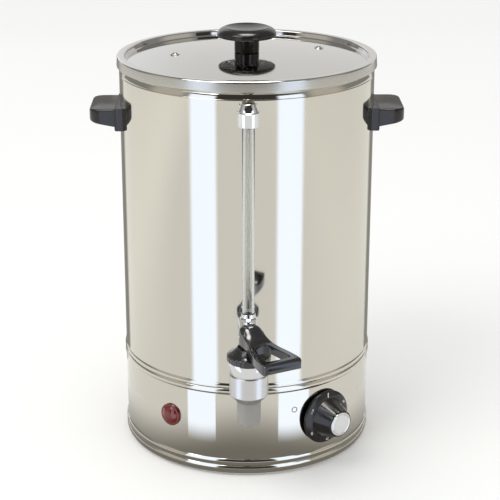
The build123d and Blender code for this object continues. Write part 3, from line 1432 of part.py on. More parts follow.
element_foot = tail_z
lead_routes = [
    # inlet to terminal block, live and neutral
    [(-inlet_pitch, inlet_tail, inlet_z - 2), (-inlet_pitch, inlet_tail - 10, inlet_z - 2),
     (-terminal_pitch, terminal_back + 14, lead_z), (-terminal_pitch, terminal_back, lead_z)],
    [(inlet_pitch, inlet_tail, inlet_z - 2), (inlet_pitch, inlet_tail - 10, inlet_z - 2),
     (terminal_pitch, terminal_back + 14, lead_z), (terminal_pitch, terminal_back, lead_z)],
    # inlet to earth stud
    [(0, inlet_tail, inlet_z + 2), (0, inlet_tail - 12, inlet_z + 2), (30, inlet_tail - 16, 30),
     (earth_place[0], earth_place[1], 31), (earth_place[0], earth_place[1], plate_top + 12)],
    # terminal block to thermostat
    [(terminal_pitch, terminal_front, lead_z), (terminal_pitch, terminal_front - 20, lead_z),
     (34, -22, 26), from_plane(dial_out, 8, -2, thermostat_back - 20),
     from_plane(dial_out, 8, -2, thermostat_back)],
    # thermostat to cut-out
    [from_plane(dial_out, -8, 6, thermostat_back), from_plane(dial_out, -8, 6, thermostat_back - 22),
     (10, -44, 66), (cutout_place[0] + 30, -8, 80), (cutout_place[0] + cutout_radius + 12, 22, 91),
     (cutout_place[0] + cutout_radius, cutout_place[1], 91)],
    # cut-out to the left leg of the element
    [(cutout_place[0], cutout_place[1] + cutout_radius, 91), (cutout_place[0], cutout_place[1] + 26, 91),
     (-element_leg_x - 8, element_leg_y - 6, 64), (-element_leg_x, element_leg_y, 62),
     (-element_leg_x, element_leg_y, element_foot)],
    # terminal block to the right leg of the element
    [(0, terminal_back, lead_z), (0, terminal_back + 10, lead_z),
     (element_leg_x, element_leg_y - 3, 42), (element_leg_x, element_leg_y, 58),
     (element_leg_x, element_leg_y, element_foot)],
    # pilot lamp to terminal block
    [from_plane(lamp_out, 4, 0, lamp_tail), from_plane(lamp_out, 4, 0, lamp_tail - 14), (-30, -30, 34),
     (-terminal_pitch, terminal_front - 24, lead_z), (-terminal_pitch, terminal_front, lead_z)],
    [from_plane(lamp_out, -4, 0, lamp_tail), from_plane(lamp_out, -4, 0, lamp_tail - 20), (-26, -14, 24),
     (0, terminal_front - 20, lead_z), (0, terminal_front, lead_z)],
]


def bend_radii(points):
    """Radius of each bend of a lead: the usual one, or less where the runs beside it are short."""
    radii = []
    for before, corner, after in zip(points, points[1:], points[2:]):
        first, second = corner - before, after - corner
        turn = radians(first.get_angle(second))
        room = 0.45 * min(first.length, second.length) / tan(turn / 2)
        radii.append(min(lead_bend, room))
    return radii


with BuildPart() as internal_leads:
    for route in lead_routes:
        points = [Vector(*point) if isinstance(point, tuple) else point for point in route]
        with BuildLine() as run:
            FilletPolyline(*points, radius=bend_radii(points))
        start_plane = Plane(origin=points[0], z_dir=points[1] - points[0])
        with BuildSketch(start_plane) as section:
            Circle(lead_radius)
        sweep(sections=section.sketch, path=run.wire(), transition=Transition.ROUND)
finish_part(internal_leads, "internal_leads")
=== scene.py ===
"""Dressed scene of a hot water urn: tank and skirt, lift-off lid, sight glass, lever tap, dial and lamp.

Lengths are written in millimetres and turned to metres where a mesh is made.  +Z is up, the tank axis is the
Z axis, the tap looks along -Y and +X is on the right of someone who faces the tap.
"""
import logging
import math
from dataclasses import dataclass
from enum import Enum
from typing import Callable, Iterable, Sequence

import bmesh
import bpy
from mathutils import Matrix, Vector

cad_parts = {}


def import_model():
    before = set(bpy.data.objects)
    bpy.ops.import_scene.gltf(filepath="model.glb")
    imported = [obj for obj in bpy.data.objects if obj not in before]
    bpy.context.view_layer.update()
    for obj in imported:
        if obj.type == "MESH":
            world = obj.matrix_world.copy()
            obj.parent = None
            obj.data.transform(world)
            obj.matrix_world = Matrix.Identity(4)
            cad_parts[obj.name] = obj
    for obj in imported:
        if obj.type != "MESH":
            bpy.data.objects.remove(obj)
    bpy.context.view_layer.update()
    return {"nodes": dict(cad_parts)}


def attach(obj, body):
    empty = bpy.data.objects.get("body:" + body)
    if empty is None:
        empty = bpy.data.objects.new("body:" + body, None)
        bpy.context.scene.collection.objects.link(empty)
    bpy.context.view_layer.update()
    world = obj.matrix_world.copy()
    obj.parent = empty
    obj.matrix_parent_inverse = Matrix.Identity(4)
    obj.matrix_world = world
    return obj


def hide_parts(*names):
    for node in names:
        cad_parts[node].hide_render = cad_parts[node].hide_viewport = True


MM = 0.001
SMUDGE_FINENESS = 2.7
COAT_ROUGHNESS = 0.08
RELIEF_HEIGHT = 0.0004
SCATTER_RADIUS = (0.004, 0.003, 0.002)
LOG = logging.getLogger("urn")

Point = tuple[float, float]
Colour = tuple[float, float, float]


class Side(Enum):
    """Which side of the tank a handle is on."""

    LEFT = -1
    RIGHT = 1


class CardFade(Enum):
    """Where a studio card fades out."""

    SIDES = "sides"
    ROUND = "round"
    FOOT = "foot"


# ---------------------------------------------------------------- shader groups
def feed(tree: bpy.types.NodeTree, node: bpy.types.Node, inputs: dict[str | int, object]) -> None:
    """Sets inputs of a node, each to a value or to the output that feeds it."""
    for socket, value in inputs.items():
        if isinstance(value, bpy.types.NodeSocket):
            tree.links.new(value, node.inputs[socket])
        else:
            node.inputs[socket].default_value = value


def add_node(
    tree: bpy.types.NodeTree, kind: str, inputs: dict[str | int, object] | None = None, **settings: object,
) -> bpy.types.Node:
    """Adds a shader node.

    Args:
        tree: the tree that it goes into.
        kind: its type, without the ShaderNode in front.
        inputs: what goes into its sockets, as for feed.
        settings: its own settings, which are made before its inputs.

    Returns:
        The new node.
    """
    node = tree.nodes.new(f"ShaderNode{kind}")
    for title, value in settings.items():
        setattr(node, title, value)
    feed(tree, node, inputs or {})
    return node


def new_group(
    name: str, inputs: dict[str, tuple[str, object]], outputs: dict[str, str],
) -> tuple[bpy.types.NodeTree, bpy.types.Node, bpy.types.Node]:
    """Makes an empty shader node group.

    Args:
        name: name of the group.
        inputs: socket name to the last word of its type and its default value.
        outputs: socket name to the last word of its type.

    Returns:
        The group, its input node and its output node.
    """
    group = bpy.data.node_groups.new(name, "ShaderNodeTree")
    for title, (kind, default) in inputs.items():
        socket = group.interface.new_socket(name=title, in_out="INPUT", socket_type=f"NodeSocket{kind}")
        socket.default_value = default
    for title, kind in outputs.items():
        group.interface.new_socket(name=title, in_out="OUTPUT", socket_type=f"NodeSocket{kind}")
    return group, group.nodes.new("NodeGroupInput"), group.nodes.new("NodeGroupOutput")


def stretched_place(group: bpy.types.NodeTree, enter: bpy.types.Node) -> bpy.types.NodeSocket:
    """Output with the place on the object, stretched by the group's Stretch input."""
    place = add_node(group, "TexCoord").outputs["Object"]
    stretch = add_node(group, "VectorMath", {0: place, 1: enter.outputs["Stretch"]}, operation="MULTIPLY")
    return stretch.outputs[0]


def tone_group() -> bpy.types.NodeTree:
    """Group that puts out a cloudy Color and a Mask of faint smudges, made once."""
    name = "cloudy_tone"
    if name in bpy.data.node_groups:
        return bpy.data.node_groups[name]
    group, enter, leave = new_group(
        name,
        {"Color": ("Color", (0.5, 0.5, 0.5, 1.0)), "Spread": ("Float", 0.1), "Scale": ("Float", 20.0),
         "Stretch": ("Vector", (1.0, 1.0, 1.0))},
        {"Color": "Color", "Mask": "Float"},
    )
    place, scale = stretched_place(group, enter), enter.outputs["Scale"]
    broad = add_node(group, "TexNoise", {"Vector": place, "Scale": scale, "Detail": 5.0, "Roughness": 0.55})
    centred = add_node(group, "Math", {0: broad.outputs["Fac"], 1: 0.5}, operation="SUBTRACT")
    change = {0: centred.outputs[0], 1: enter.outputs["Spread"], 2: 1.0}
    factor = add_node(group, "Math", change, operation="MULTIPLY_ADD")
    tint = {0: enter.outputs["Color"], "Scale": factor.outputs[0]}
    tinted = add_node(group, "VectorMath", tint, operation="SCALE")
    finer = add_node(group, "Math", {0: scale, 1: SMUDGE_FINENESS}, operation="MULTIPLY").outputs[0]
    smudge = add_node(group, "TexNoise", {"Vector": place, "Scale": finer, "Detail": 3.0, "Distortion": 0.8})
    mask = add_node(group, "MapRange", {"Value": smudge.outputs["Fac"], "From Min": 0.35, "From Max": 0.75})
    feed(group, leave, {"Color": tinted.outputs[0], "Mask": mask.outputs["Result"]})
    return group


def relief_group() -> bpy.types.NodeTree:
    """Group that puts out the fine Height of a surface, lines or pebbles by its Stretch, made once."""
    name = "fine_relief"
    if name in bpy.data.node_groups:
        return bpy.data.node_groups[name]
    inputs = {"Scale": ("Float", 900.0), "Stretch": ("Vector", (1.0, 1.0, 1.0))}
    group, enter, leave = new_group(name, inputs, {"Height": "Float"})
    place, scale = stretched_place(group, enter), enter.outputs["Scale"]
    noise = add_node(group, "TexNoise", {"Vector": place, "Scale": scale, "Detail": 4.0, "Roughness": 0.6})
    feed(group, leave, {"Height": noise.outputs["Fac"]})
    return group


# ---------------------------------------------------------------- finishes
@dataclass(frozen=True)
class Finish:
    """One finish of the urn, as a node material.

    Attributes:
        title: name of the finish.
        colour: base colour.
        metallic: 1 for bare metal and plating, else 0.
        roughness: roughness where the surface is clean.
        haze: roughness added where it is smudged.
        spread: how far the base colour changes over the surface.
        tone_scale: scale of that change, per metre.
        stretch: stretch of the patterns along x, y and z.
        grain_scale: scale of the fine relief, per metre.
        grain_depth: strength of the fine relief, 0 for none.
        coat: weight of the clear coat.
        transmission: how much light goes through.
        ior: index of refraction.
        subsurface: weight of light scattered under the surface.
    """

    title: str
    colour: Colour
    metallic: float = 0.0
    roughness: float = 0.4
    haze: float = 0.08
    spread: float = 0.12
    tone_scale: float = 22.0
    stretch: tuple[float, float, float] = (1.0, 1.0, 1.0)
    grain_scale: float = 900.0
    grain_depth: float = 0.05
    coat: float = 0.0
    transmission: float = 0.0
    ior: float = 1.5
    subsurface: float = 0.0

    def material(self) -> bpy.types.Material:
        """The material of this finish, made once."""
        name = f"{self.title}_finish"
        if name in bpy.data.materials:
            return bpy.data.materials[name]
        made = bpy.data.materials.new(name)
        made.use_nodes = True
        tree = made.node_tree
        look = {"Color": (*self.colour, 1.0), "Spread": self.spread, "Scale": self.tone_scale}
        tone = add_node(tree, "Group", {**look, "Stretch": self.stretch}, node_tree=tone_group())
        span = {"To Min": self.roughness, "To Max": self.roughness + self.haze}
        rough = add_node(tree, "MapRange", {"Value": tone.outputs["Mask"], **span})
        shader = tree.nodes["Principled BSDF"]
        feed(tree, shader, {
            "Base Color": tone.outputs["Color"], "Roughness": rough.outputs["Result"],
            "Metallic": self.metallic, "Coat Weight": self.coat, "Coat Roughness": COAT_ROUGHNESS,
            "Transmission Weight": self.transmission, "IOR": self.ior,
            "Subsurface Weight": self.subsurface, "Subsurface Radius": SCATTER_RADIUS,
        })
        if self.grain_depth:
            grain = {"Scale": self.grain_scale, "Stretch": self.stretch}
            relief = add_node(tree, "Group", grain, node_tree=relief_group()).outputs["Height"]
            bump = {"Strength": self.grain_depth, "Distance": RELIEF_HEIGHT, "Height": relief}
            feed(tree, shader, {"Normal": add_node(tree, "Bump", bump).outputs["Normal"]})
        return made


TANK_STEEL = Finish(
    "tank_steel", (0.625, 0.598, 0.520), metallic=1.0, roughness=0.055, haze=0.045, spread=0.06,
    tone_scale=7.0, stretch=(1.0, 1.0, 0.35), grain_scale=55.0, grain_depth=0.035,
)
LID_STEEL = Finish(
    "lid_steel", (0.600, 0.590, 0.555), metallic=1.0, roughness=0.05, haze=0.05, spread=0.05, tone_scale=9.0,
    grain_scale=70.0, grain_depth=0.03,
)
LID_BAND = Finish(
    "brushed_band", (0.50, 0.485, 0.44), metallic=1.0, roughness=0.26, haze=0.06, spread=0.06, tone_scale=9.0,
    stretch=(1.0, 1.0, 8.0), grain_scale=60.0, grain_depth=0.03,
)
PLAIN_STEEL = Finish(
    "plain_steel", (0.50, 0.49, 0.47), metallic=1.0, roughness=0.24, haze=0.12, stretch=(1.0, 0.2, 1.0),
    grain_scale=1400.0, grain_depth=0.12,
)
ZINC = Finish(
    "zinc_plate", (0.56, 0.56, 0.55), metallic=1.0, roughness=0.22, haze=0.14, spread=0.2, tone_scale=80.0,
)
CHROME = Finish(
    "chrome_plate", (0.70, 0.70, 0.685), metallic=1.0, roughness=0.035, haze=0.04, spread=0.04,
    tone_scale=30.0, grain_scale=220.0, grain_depth=0.02,
)
SATIN_CHROME = Finish(
    "satin_chrome", (0.60, 0.595, 0.575), metallic=1.0, roughness=0.27, haze=0.10, spread=0.07,
    tone_scale=40.0,
)
BRASS = Finish(
    "brass", (0.62, 0.45, 0.20), metallic=1.0, roughness=0.24, haze=0.12, spread=0.2, tone_scale=60.0,
)
COPPER = Finish(
    "copper", (0.60, 0.30, 0.18), metallic=1.0, roughness=0.3, haze=0.15, spread=0.25, tone_scale=60.0,
)
PHENOLIC = Finish(
    "black_phenolic", (0.012, 0.010, 0.009), roughness=0.17, spread=0.35, tone_scale=55.0,
    grain_scale=700.0, grain_depth=0.07, coat=0.1, ior=1.45,
)
NYLON = Finish(
    "black_nylon", (0.012, 0.011, 0.011), roughness=0.15, haze=0.07, spread=0.3, tone_scale=70.0,
    grain_scale=520.0, grain_depth=0.07, coat=0.4,
)
ACETAL = Finish("acetal", (0.80, 0.79, 0.75), roughness=0.35, subsurface=0.1)
GLASS = Finish(
    "clear_glass", (0.86, 0.87, 0.86), roughness=0.0, haze=0.02, spread=0.02, grain_depth=0.0,
    transmission=1.0, ior=1.47,
)
NOZZLE = Finish(
    "nozzle_silicone", (0.30, 0.295, 0.275), roughness=0.30, spread=0.08, transmission=0.15, ior=1.41,
    subsurface=0.15, grain_depth=0.04,
)
SILICONE = Finish("pale_silicone", (0.62, 0.61, 0.58), roughness=0.5, subsurface=0.1)
RUBBER = Finish(
    "foot_rubber", (0.022, 0.022, 0.022), roughness=0.62, haze=0.15, grain_scale=1500.0, grain_depth=0.2,
)
RED_LENS = Finish(
    "red_lens", (0.16, 0.012, 0.008), roughness=0.08, haze=0.06, spread=0.15, tone_scale=120.0, coat=0.5,
    transmission=0.25, ior=1.49, grain_depth=0.02,
)
BROWN_MOULDING = Finish("brown_moulding", (0.06, 0.035, 0.022), roughness=0.42)
STEATITE = Finish("steatite", (0.78, 0.76, 0.70), roughness=0.3, coat=0.3)
LEAD_JACKET = Finish("lead_jacket", (0.66, 0.62, 0.55), roughness=0.5)
MARKING = Finish("marking_paint", (0.78, 0.78, 0.76), roughness=0.5, grain_depth=0.02)
DARK_MARK = Finish("dark_mark", (0.12, 0.11, 0.10), roughness=0.5, grain_depth=0.02)

FINISHED_NODES: dict[Finish, str] = {
    TANK_STEEL: "tank_wall base_skirt",
    LID_STEEL: "lid_panel",
    PLAIN_STEEL: "lid_locating_ring tank_floor base_plate tap_spring heating_element",
    ZINC: "base_studs base_nuts foot_screws lid_knob_screw handle_screws thermostat_bracket "
          "thermostat_screws thermostat_spindle bulb_clip inlet_screws inlet_nuts",
    CHROME: "gauge_top_fitting gauge_riser tap_body tap_stem lever_pin knob_cap",
    BRASS: "handle_inserts gauge_nut tap_backnut element_nuts inlet_pins terminal_screws earth_stud",
    COPPER: "sensor_bulb",
    PHENOLIC: "lid_knob left_handle right_handle thermostat_knob",
    NYLON: "tap_bonnet slip_ring tap_lever inlet_housing",
    ACETAL: "lamp_body lamp_nut reset_button",
    GLASS: "gauge_glass",
    NOZZLE: "tap_nozzle",
    SILICONE: "lid_knob_washer handle_seals gauge_seals wall_gaskets wall_washers seat_cup element_seals",
    RUBBER: "rubber_feet",
    RED_LENS: "lamp_lens",
    BROWN_MOULDING: "cutout_body",
    STEATITE: "thermostat_body terminal_block",
    LEAD_JACKET: "internal_leads",
}


# ---------------------------------------------------------------- bench tools
def deselect() -> None:
    """Leaves edit mode and selects nothing."""
    if bpy.context.object and bpy.context.object.mode != "OBJECT":
        bpy.ops.object.mode_set(mode="OBJECT")
    bpy.ops.object.select_all(action="DESELECT")


def pick(piece: bpy.types.Object) -> None:
    """Selects one object and makes it active."""
    deselect()
    piece.select_set(True)
    bpy.context.view_layer.objects.active = piece


def settle(piece: bpy.types.Object) -> None:
    """Puts an object's place into its mesh and leaves the object at the origin."""
    pick(piece)
    bpy.ops.object.transform_apply(location=True, rotation=True, scale=True)


def tidy_mesh(piece: bpy.types.Object, merge: float = 1e-6) -> None:
    """Merges the points of a mesh that are closer than merge, in metres, and turns its faces outwards."""
    pick(piece)
    bpy.ops.object.mode_set(mode="EDIT")
    bpy.ops.mesh.select_all(action="SELECT")
    bpy.ops.mesh.remove_doubles(threshold=merge)
    bpy.ops.mesh.normals_make_consistent(inside=False)
    bpy.ops.object.mode_set(mode="OBJECT")


def smooth(piece: bpy.types.Object, angle: float = 28.0) -> None:
    """Shades a piece smooth, with edges sharper than angle degrees kept crisp."""
    pick(piece)
    bpy.ops.object.shade_smooth_by_angle(angle=math.radians(angle))


def modify(piece: bpy.types.Object, kind: str, **settings: object) -> None:
    """Adds a modifier of a kind with its settings, and applies it."""
    pick(piece)
    tool = piece.modifiers.new(kind.lower(), kind)
    for title, value in settings.items():
        setattr(tool, title, value)
    bpy.ops.object.modifier_apply(modifier=tool.name)


def boolean(piece: bpy.types.Object, cutter: bpy.types.Object, operation: str) -> None:
    """Joins or cuts a piece with another one, which is then removed."""
    modify(piece, "BOOLEAN", object=cutter, operation=operation, solver="EXACT")
    bpy.data.objects.remove(cutter, do_unlink=True)


def dress(piece: bpy.types.Object, finish: Finish) -> None:
    """Gives a piece one finish."""
    piece.data.materials.clear()
    piece.data.materials.append(finish.material())


def arc(centre: Point, radius: float, start: float, end: float, steps: int = 8) -> list[Point]:
    """Points of an arc in a profile.

    Args:
        centre: centre of the arc, as (r, z).
        radius: its radius.
        start: angle of its first point, in degrees, from the +r direction.
        end: angle of its last point.
        steps: number of segments.

    Returns:
        The points from start to end.
    """
    turns = [math.radians(start + (end - start) * i / steps) for i in range(steps + 1)]
    return [(centre[0] + radius * math.cos(t), centre[1] + radius * math.sin(t)) for t in turns]


def bead(radius: float, low: float, high: float, proud: float, steps: int = 10) -> list[Point]:
    """Points of a shallow round bead on an upright wall, from its low edge to its high edge."""
    half = (high - low) / 2
    sphere = (half ** 2 + proud ** 2) / (2 * proud)
    turn = math.degrees(math.asin(min(1.0, half / sphere)))
    if proud > half:
        turn = 180 - turn
    return arc((radius + proud - sphere, (low + high) / 2), sphere, -turn, turn, steps)


def bowed(start: Point, end: Point, bow: Point, steps: int) -> list[Point]:
    """Points of a line in a profile that bows out by bow in its middle."""
    points = []
    for step in range(steps + 1):
        share = step / steps
        height = 4 * share * (1 - share)
        points.append(tuple(a + (b - a) * share + out * height for a, b, out in zip(start, end, bow)))
    return points


def shift(points: Sequence[Point], radius: float, height: float) -> list[Point]:
    """Points of a profile, moved by a radius and a height."""
    return [(r + radius, z + height) for r, z in points]


def lathe(
    name: str, profile: Sequence[Point], steps: int = 128, centre: Point = (0.0, 0.0), angle: float = 0.0,
) -> bpy.types.Object:
    """Turns a closed profile about an upright axis.

    Args:
        name: name of the piece.
        profile: (r, z) points in millimetres, in order round the section.
        steps: number of sides.
        centre: place of the axis, in millimetres.
        angle: edges sharper than this many degrees stay crisp and the rest is smooth; 0 leaves it faceted.

    Returns:
        The turned piece, at the origin.
    """
    deselect()
    first = Vector((profile[0][0], 0, profile[0][1])) * MM
    bpy.ops.mesh.primitive_plane_add(size=2 * MM, location=(0, 0, 0), enter_editmode=True)
    bpy.ops.mesh.select_mode(type="VERT")
    bpy.ops.mesh.select_all(action="SELECT")
    bpy.ops.mesh.merge(type="CENTER")
    bpy.ops.transform.translate(value=first)
    here = first
    for radius, height in list(profile[1:]) + [profile[0]]:
        there = Vector((radius, 0, height)) * MM
        bpy.ops.mesh.extrude_region_move(TRANSFORM_OT_translate={"value": there - here})
        here = there
    bpy.ops.mesh.select_all(action="SELECT")
    bpy.ops.mesh.spin(steps=steps, angle=2 * math.pi, center=(0, 0, 0), axis=(0, 0, 1))
    bpy.ops.object.mode_set(mode="OBJECT")
    piece = bpy.context.object
    piece.name = piece.data.name = name
    tidy_mesh(piece)
    piece.location = (centre[0] * MM, centre[1] * MM, 0)
    settle(piece)
    if angle:
        smooth(piece, angle)
    return piece


def stand_out(piece: bpy.types.Object, azimuth: float, height: float, distance: float = 0.0) -> None:
    """Lays a piece that was made along +Z so that its axis points out of the tank at an azimuth from the tap.

    Args:
        piece: the piece, made about the Z axis with its up side along +Y.
        azimuth: angle from the tap towards +X, in degrees.
        height: height of its axis, in millimetres.
        distance: distance of its zero from the tank axis, in millimetres.
    """
    turn = math.radians(azimuth)
    out = Vector((math.sin(turn), -math.cos(turn), 0))
    along = Vector((math.cos(turn), math.sin(turn), 0))
    place = Matrix.Identity(4)
    place.col[0][:3] = along
    place.col[1][:3] = (0, 0, 1)
    place.col[2][:3] = out
    place.translation = (out * distance + Vector((0, 0, height))) * MM
    piece.matrix_world = place
    settle(piece)


def box(name: str, low: Sequence[float], high: Sequence[float]) -> bpy.types.Object:
    """A box between two corners, in millimetres, as a start for a moulded piece."""
    deselect()
    centre = [(a + b) / 2 * MM for a, b in zip(low, high)]
    bpy.ops.mesh.primitive_cube_add(size=1.0, location=centre)
    piece = bpy.context.object
    piece.name = piece.data.name = name
    piece.scale = [abs(b - a) * MM for a, b in zip(low, high)]
    settle(piece)
    return piece


def edit_parts(piece: bpy.types.Object, kind: str) -> bmesh.types.BMesh:
    """Enters edit mode for a kind of part, EDGE or FACE, with nothing selected."""
    pick(piece)
    bpy.ops.object.mode_set(mode="EDIT")
    bpy.ops.mesh.select_mode(type=kind)
    bpy.ops.mesh.select_all(action="DESELECT")
    return bmesh.from_edit_mesh(piece.data)


def leave_edit() -> None:
    """Goes back to object mode."""
    bpy.ops.object.mode_set(mode="OBJECT")


def round_edges(
    piece: bpy.types.Object, wanted: Callable[[Vector, Vector], bool], radius: float, segments: int,
) -> None:
    """Rounds the edges whose two ends, in millimetres, pass a test.

    Args:
        piece: the piece.
        wanted: the test.
        radius: the radius, in millimetres.
        segments: number of segments of the round.
    """
    mesh = edit_parts(piece, "EDGE")
    for edge in mesh.edges:
        edge.select_set(wanted(edge.verts[0].co / MM, edge.verts[1].co / MM))
    bmesh.update_edit_mesh(piece.data)
    bpy.ops.mesh.bevel(offset=radius * MM, segments=segments, affect="EDGES")
    leave_edit()


def cylinder(
    radius: float, height: float, depth: float = 100.0, sides: int = 512, centre: Point = (0.0, 0.0),
) -> bpy.types.Object:
    """An upright cylinder to cut with; its middle is at height, and by default it stands for the tank."""
    deselect()
    place = Vector((*centre, height)) * MM
    bpy.ops.mesh.primitive_cylinder_add(vertices=sides, radius=radius * MM, depth=depth * MM, location=place)
    return bpy.context.object


def round_sharp(piece: bpy.types.Object, radius: float, segments: int, angle: float) -> None:
    """Rounds all edges that are sharper than angle degrees."""
    limit = math.radians(angle)
    modify(piece, "BEVEL", width=radius * MM, segments=segments, limit_method="ANGLE", angle_limit=limit)


def second_finish(
    piece: bpy.types.Object, finish: Finish, wanted: Callable[[float, float, float], bool],
) -> None:
    """Gives the faces whose centre, in millimetres, passes a test a finish of their own."""
    piece.data.materials.append(finish.material())
    for face in piece.data.polygons:
        if wanted(*(c / MM for c in face.center)):
            face.material_index = 1


def install(
    piece: bpy.types.Object, body: str, finish: Finish, nodes: Iterable[str] = (),
) -> None:
    """Dresses a finished piece and lets it ride on its body.

    Args:
        piece: the finished piece.
        body: the body that it moves with.
        finish: its finish.
        nodes: the nodes that it stands for.
    """
    dress(piece, finish)
    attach(piece, body)
    if nodes:
        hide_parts(*nodes)
    LOG.info("%s rides %s with %d faces", piece.name, body, len(piece.data.polygons))


# ---------------------------------------------------------------- tank and base
@dataclass
class Shell:
    """Tank wall and base skirt, turned from their profiles."""

    radius: float = 125.0
    sheet: float = 0.8
    waist: float = 93.5
    waist_bead: float = 5.8
    waist_proud: float = 1.1
    rim: float = 386.8
    shoulder: float = 6.6
    lean: float = 2.6
    bow: float = 0.5
    groove: float = 0.35
    rim_land: float = 4.6
    skirt_low: float = 2.8
    base_bead: float = 7.4
    base_proud: float = 1.6
    joggle: float = 6.0
    sides: int = 360

    def tank(self) -> None:
        """The tank wall: a seam bead and, under the rim, a shoulder that leans in above a fine groove."""
        outer, inner = self.radius, self.radius - self.sheet
        bead_top = self.waist + self.waist_bead
        low, under = self.rim - self.shoulder, self.rim - self.sheet
        profile = [(inner, self.waist), (outer - 0.3, self.waist)]
        profile += bead(outer, self.waist, bead_top, self.waist_proud)
        profile += [(outer, bead_top + 0.5), (outer, low - 1.3), (outer, low - 0.8)]
        profile += [(outer - self.groove, low - 0.3)]
        edge = (outer - self.lean, self.rim)
        profile += bowed((outer, low), edge, (self.bow, 0.0), 10)[:-1]
        profile += [(edge[0] - 0.25, edge[1]), (outer - self.rim_land, self.rim)]
        profile += [(outer - self.rim_land, under), (inner - self.lean, under)]
        profile += [(inner - self.lean / 2 + self.bow, low + self.shoulder / 2), (inner, low)]
        piece = lathe("tank_wall_polished", profile, self.sides, angle=40)
        install(piece, "urn", TANK_STEEL, ["tank_wall"])

    def skirt(self) -> None:
        """The base skirt with two beads at its foot and one at its top."""
        outer, inner, edge = self.radius, self.radius - self.sheet, 0.4
        low = self.skirt_low + self.sheet
        middle, high = low + self.base_bead, low + 2 * self.base_bead
        top_low = self.waist - self.waist_bead
        profile = [(outer - self.joggle, self.skirt_low)]
        profile += arc((outer - edge, self.skirt_low + edge), edge, -90, 0, 4)
        profile += bead(outer, low, middle, self.base_proud)
        profile += bead(outer, middle, high, self.base_proud)[1:]
        profile += [(outer, high + 0.5), (outer, top_low - 0.5)]
        profile += bead(outer, top_low, self.waist, self.waist_proud)
        profile += [(outer - 0.3, self.waist), (inner, self.waist), (inner, low), (outer - self.joggle, low)]
        piece = lathe("base_skirt_polished", profile, self.sides, angle=40)
        install(piece, "urn", TANK_STEEL, ["base_skirt"])

    def build(self) -> None:
        """Builds both shells."""
        self.tank()
        self.skirt()


@dataclass
class Lid:
    """Lift-off lid with its sunk, domed panel and steam vents."""

    radius: float = 127.3
    crest: float = 397.0
    sheet: float = 1.2
    low: float = 387.1
    hem: float = 120.4
    panel: float = 118.0
    panel_edge: float = 391.6
    dome: float = 6.6
    corner: float = 1.7
    slope: float = 1.2
    lean: float = 0.5
    vents: tuple[Point, ...] = ((-70.0, -2.0), (72.0, 31.0))
    vent_radius: float = 2.6
    sides: int = 360

    def crown(self, radius: float) -> float:
        """Height of the panel's upper face at a radius."""
        sphere = (self.panel ** 2 + self.dome ** 2) / (2 * self.dome)
        return self.panel_edge + self.dome - sphere + math.sqrt(sphere ** 2 - radius ** 2)

    def build(self) -> None:
        """Turns the lid from its profile and cuts its vents."""
        crest, corner, sheet, low = self.crest, self.corner, self.sheet, self.low
        rise, crown, edge = self.panel + self.slope, self.radius - self.lean, 0.4
        steps = (0, 6, 12, 18, 26, 36, 46, 58, 70, 82, 94, 104, 112, 115, 117, self.panel - 0.7)
        profile = [(r, self.crown(r)) for r in steps]
        profile += arc((self.panel - 0.3, self.panel_edge + 0.9), 0.8, -75, 0, 5)
        profile += arc((rise + corner, crest - corner), corner, 180, 90, 6)
        profile += [(rise + corner + 0.5, crest), (crown - corner - 0.5, crest)]
        profile += arc((crown - corner, crest - corner), corner, 90, 4, 8)
        profile += [(crown + 0.04, crest - corner - 0.6), (self.radius, low + 2 * edge)]
        profile += arc((self.radius - edge, low + edge), edge, 0, -90, 4)
        profile += [
            (self.hem, low), (self.hem, low + sheet), (self.radius - sheet, low + sheet),
            (self.radius - sheet, crest - corner), (self.radius - corner, crest - sheet),
            (rise + corner, crest - sheet), (rise + sheet, crest - corner),
            (self.panel + 0.6, self.panel_edge - sheet),
        ]
        profile += [(r, self.crown(r) - sheet) for r in (112, 94, 70, 46, 26, 12, 0)]
        piece = lathe("lid_polished", profile, self.sides)
        for vent in self.vents:
            boolean(piece, cylinder(self.vent_radius, crest, 30.0, 32, vent), "DIFFERENCE")
        smooth(piece, 35)
        install(piece, "lid", LID_STEEL, ["lid_panel"])
        second_finish(piece, LID_BAND, lambda x, y, z: math.hypot(x, y) > crown - 0.3 and z < crest - corner)
        self.eyelets()

    def eyelets(self) -> None:
        """Small raised rings round the steam vents."""
        for number, (x, y) in enumerate(self.vents):
            height, inner = self.crown(math.hypot(x, y)), self.vent_radius
            profile = [(inner, height - 0.1), (inner + 2.1, height - 0.1)]
            profile += arc((inner + 1.2, height + 0.1), 0.9, 0, 120, 6) + [(inner, height + 0.3)]
            piece = lathe(f"vent_eyelet_{number + 1}", profile, 40, (x, y), angle=35)
            install(piece, "lid", LID_STEEL)


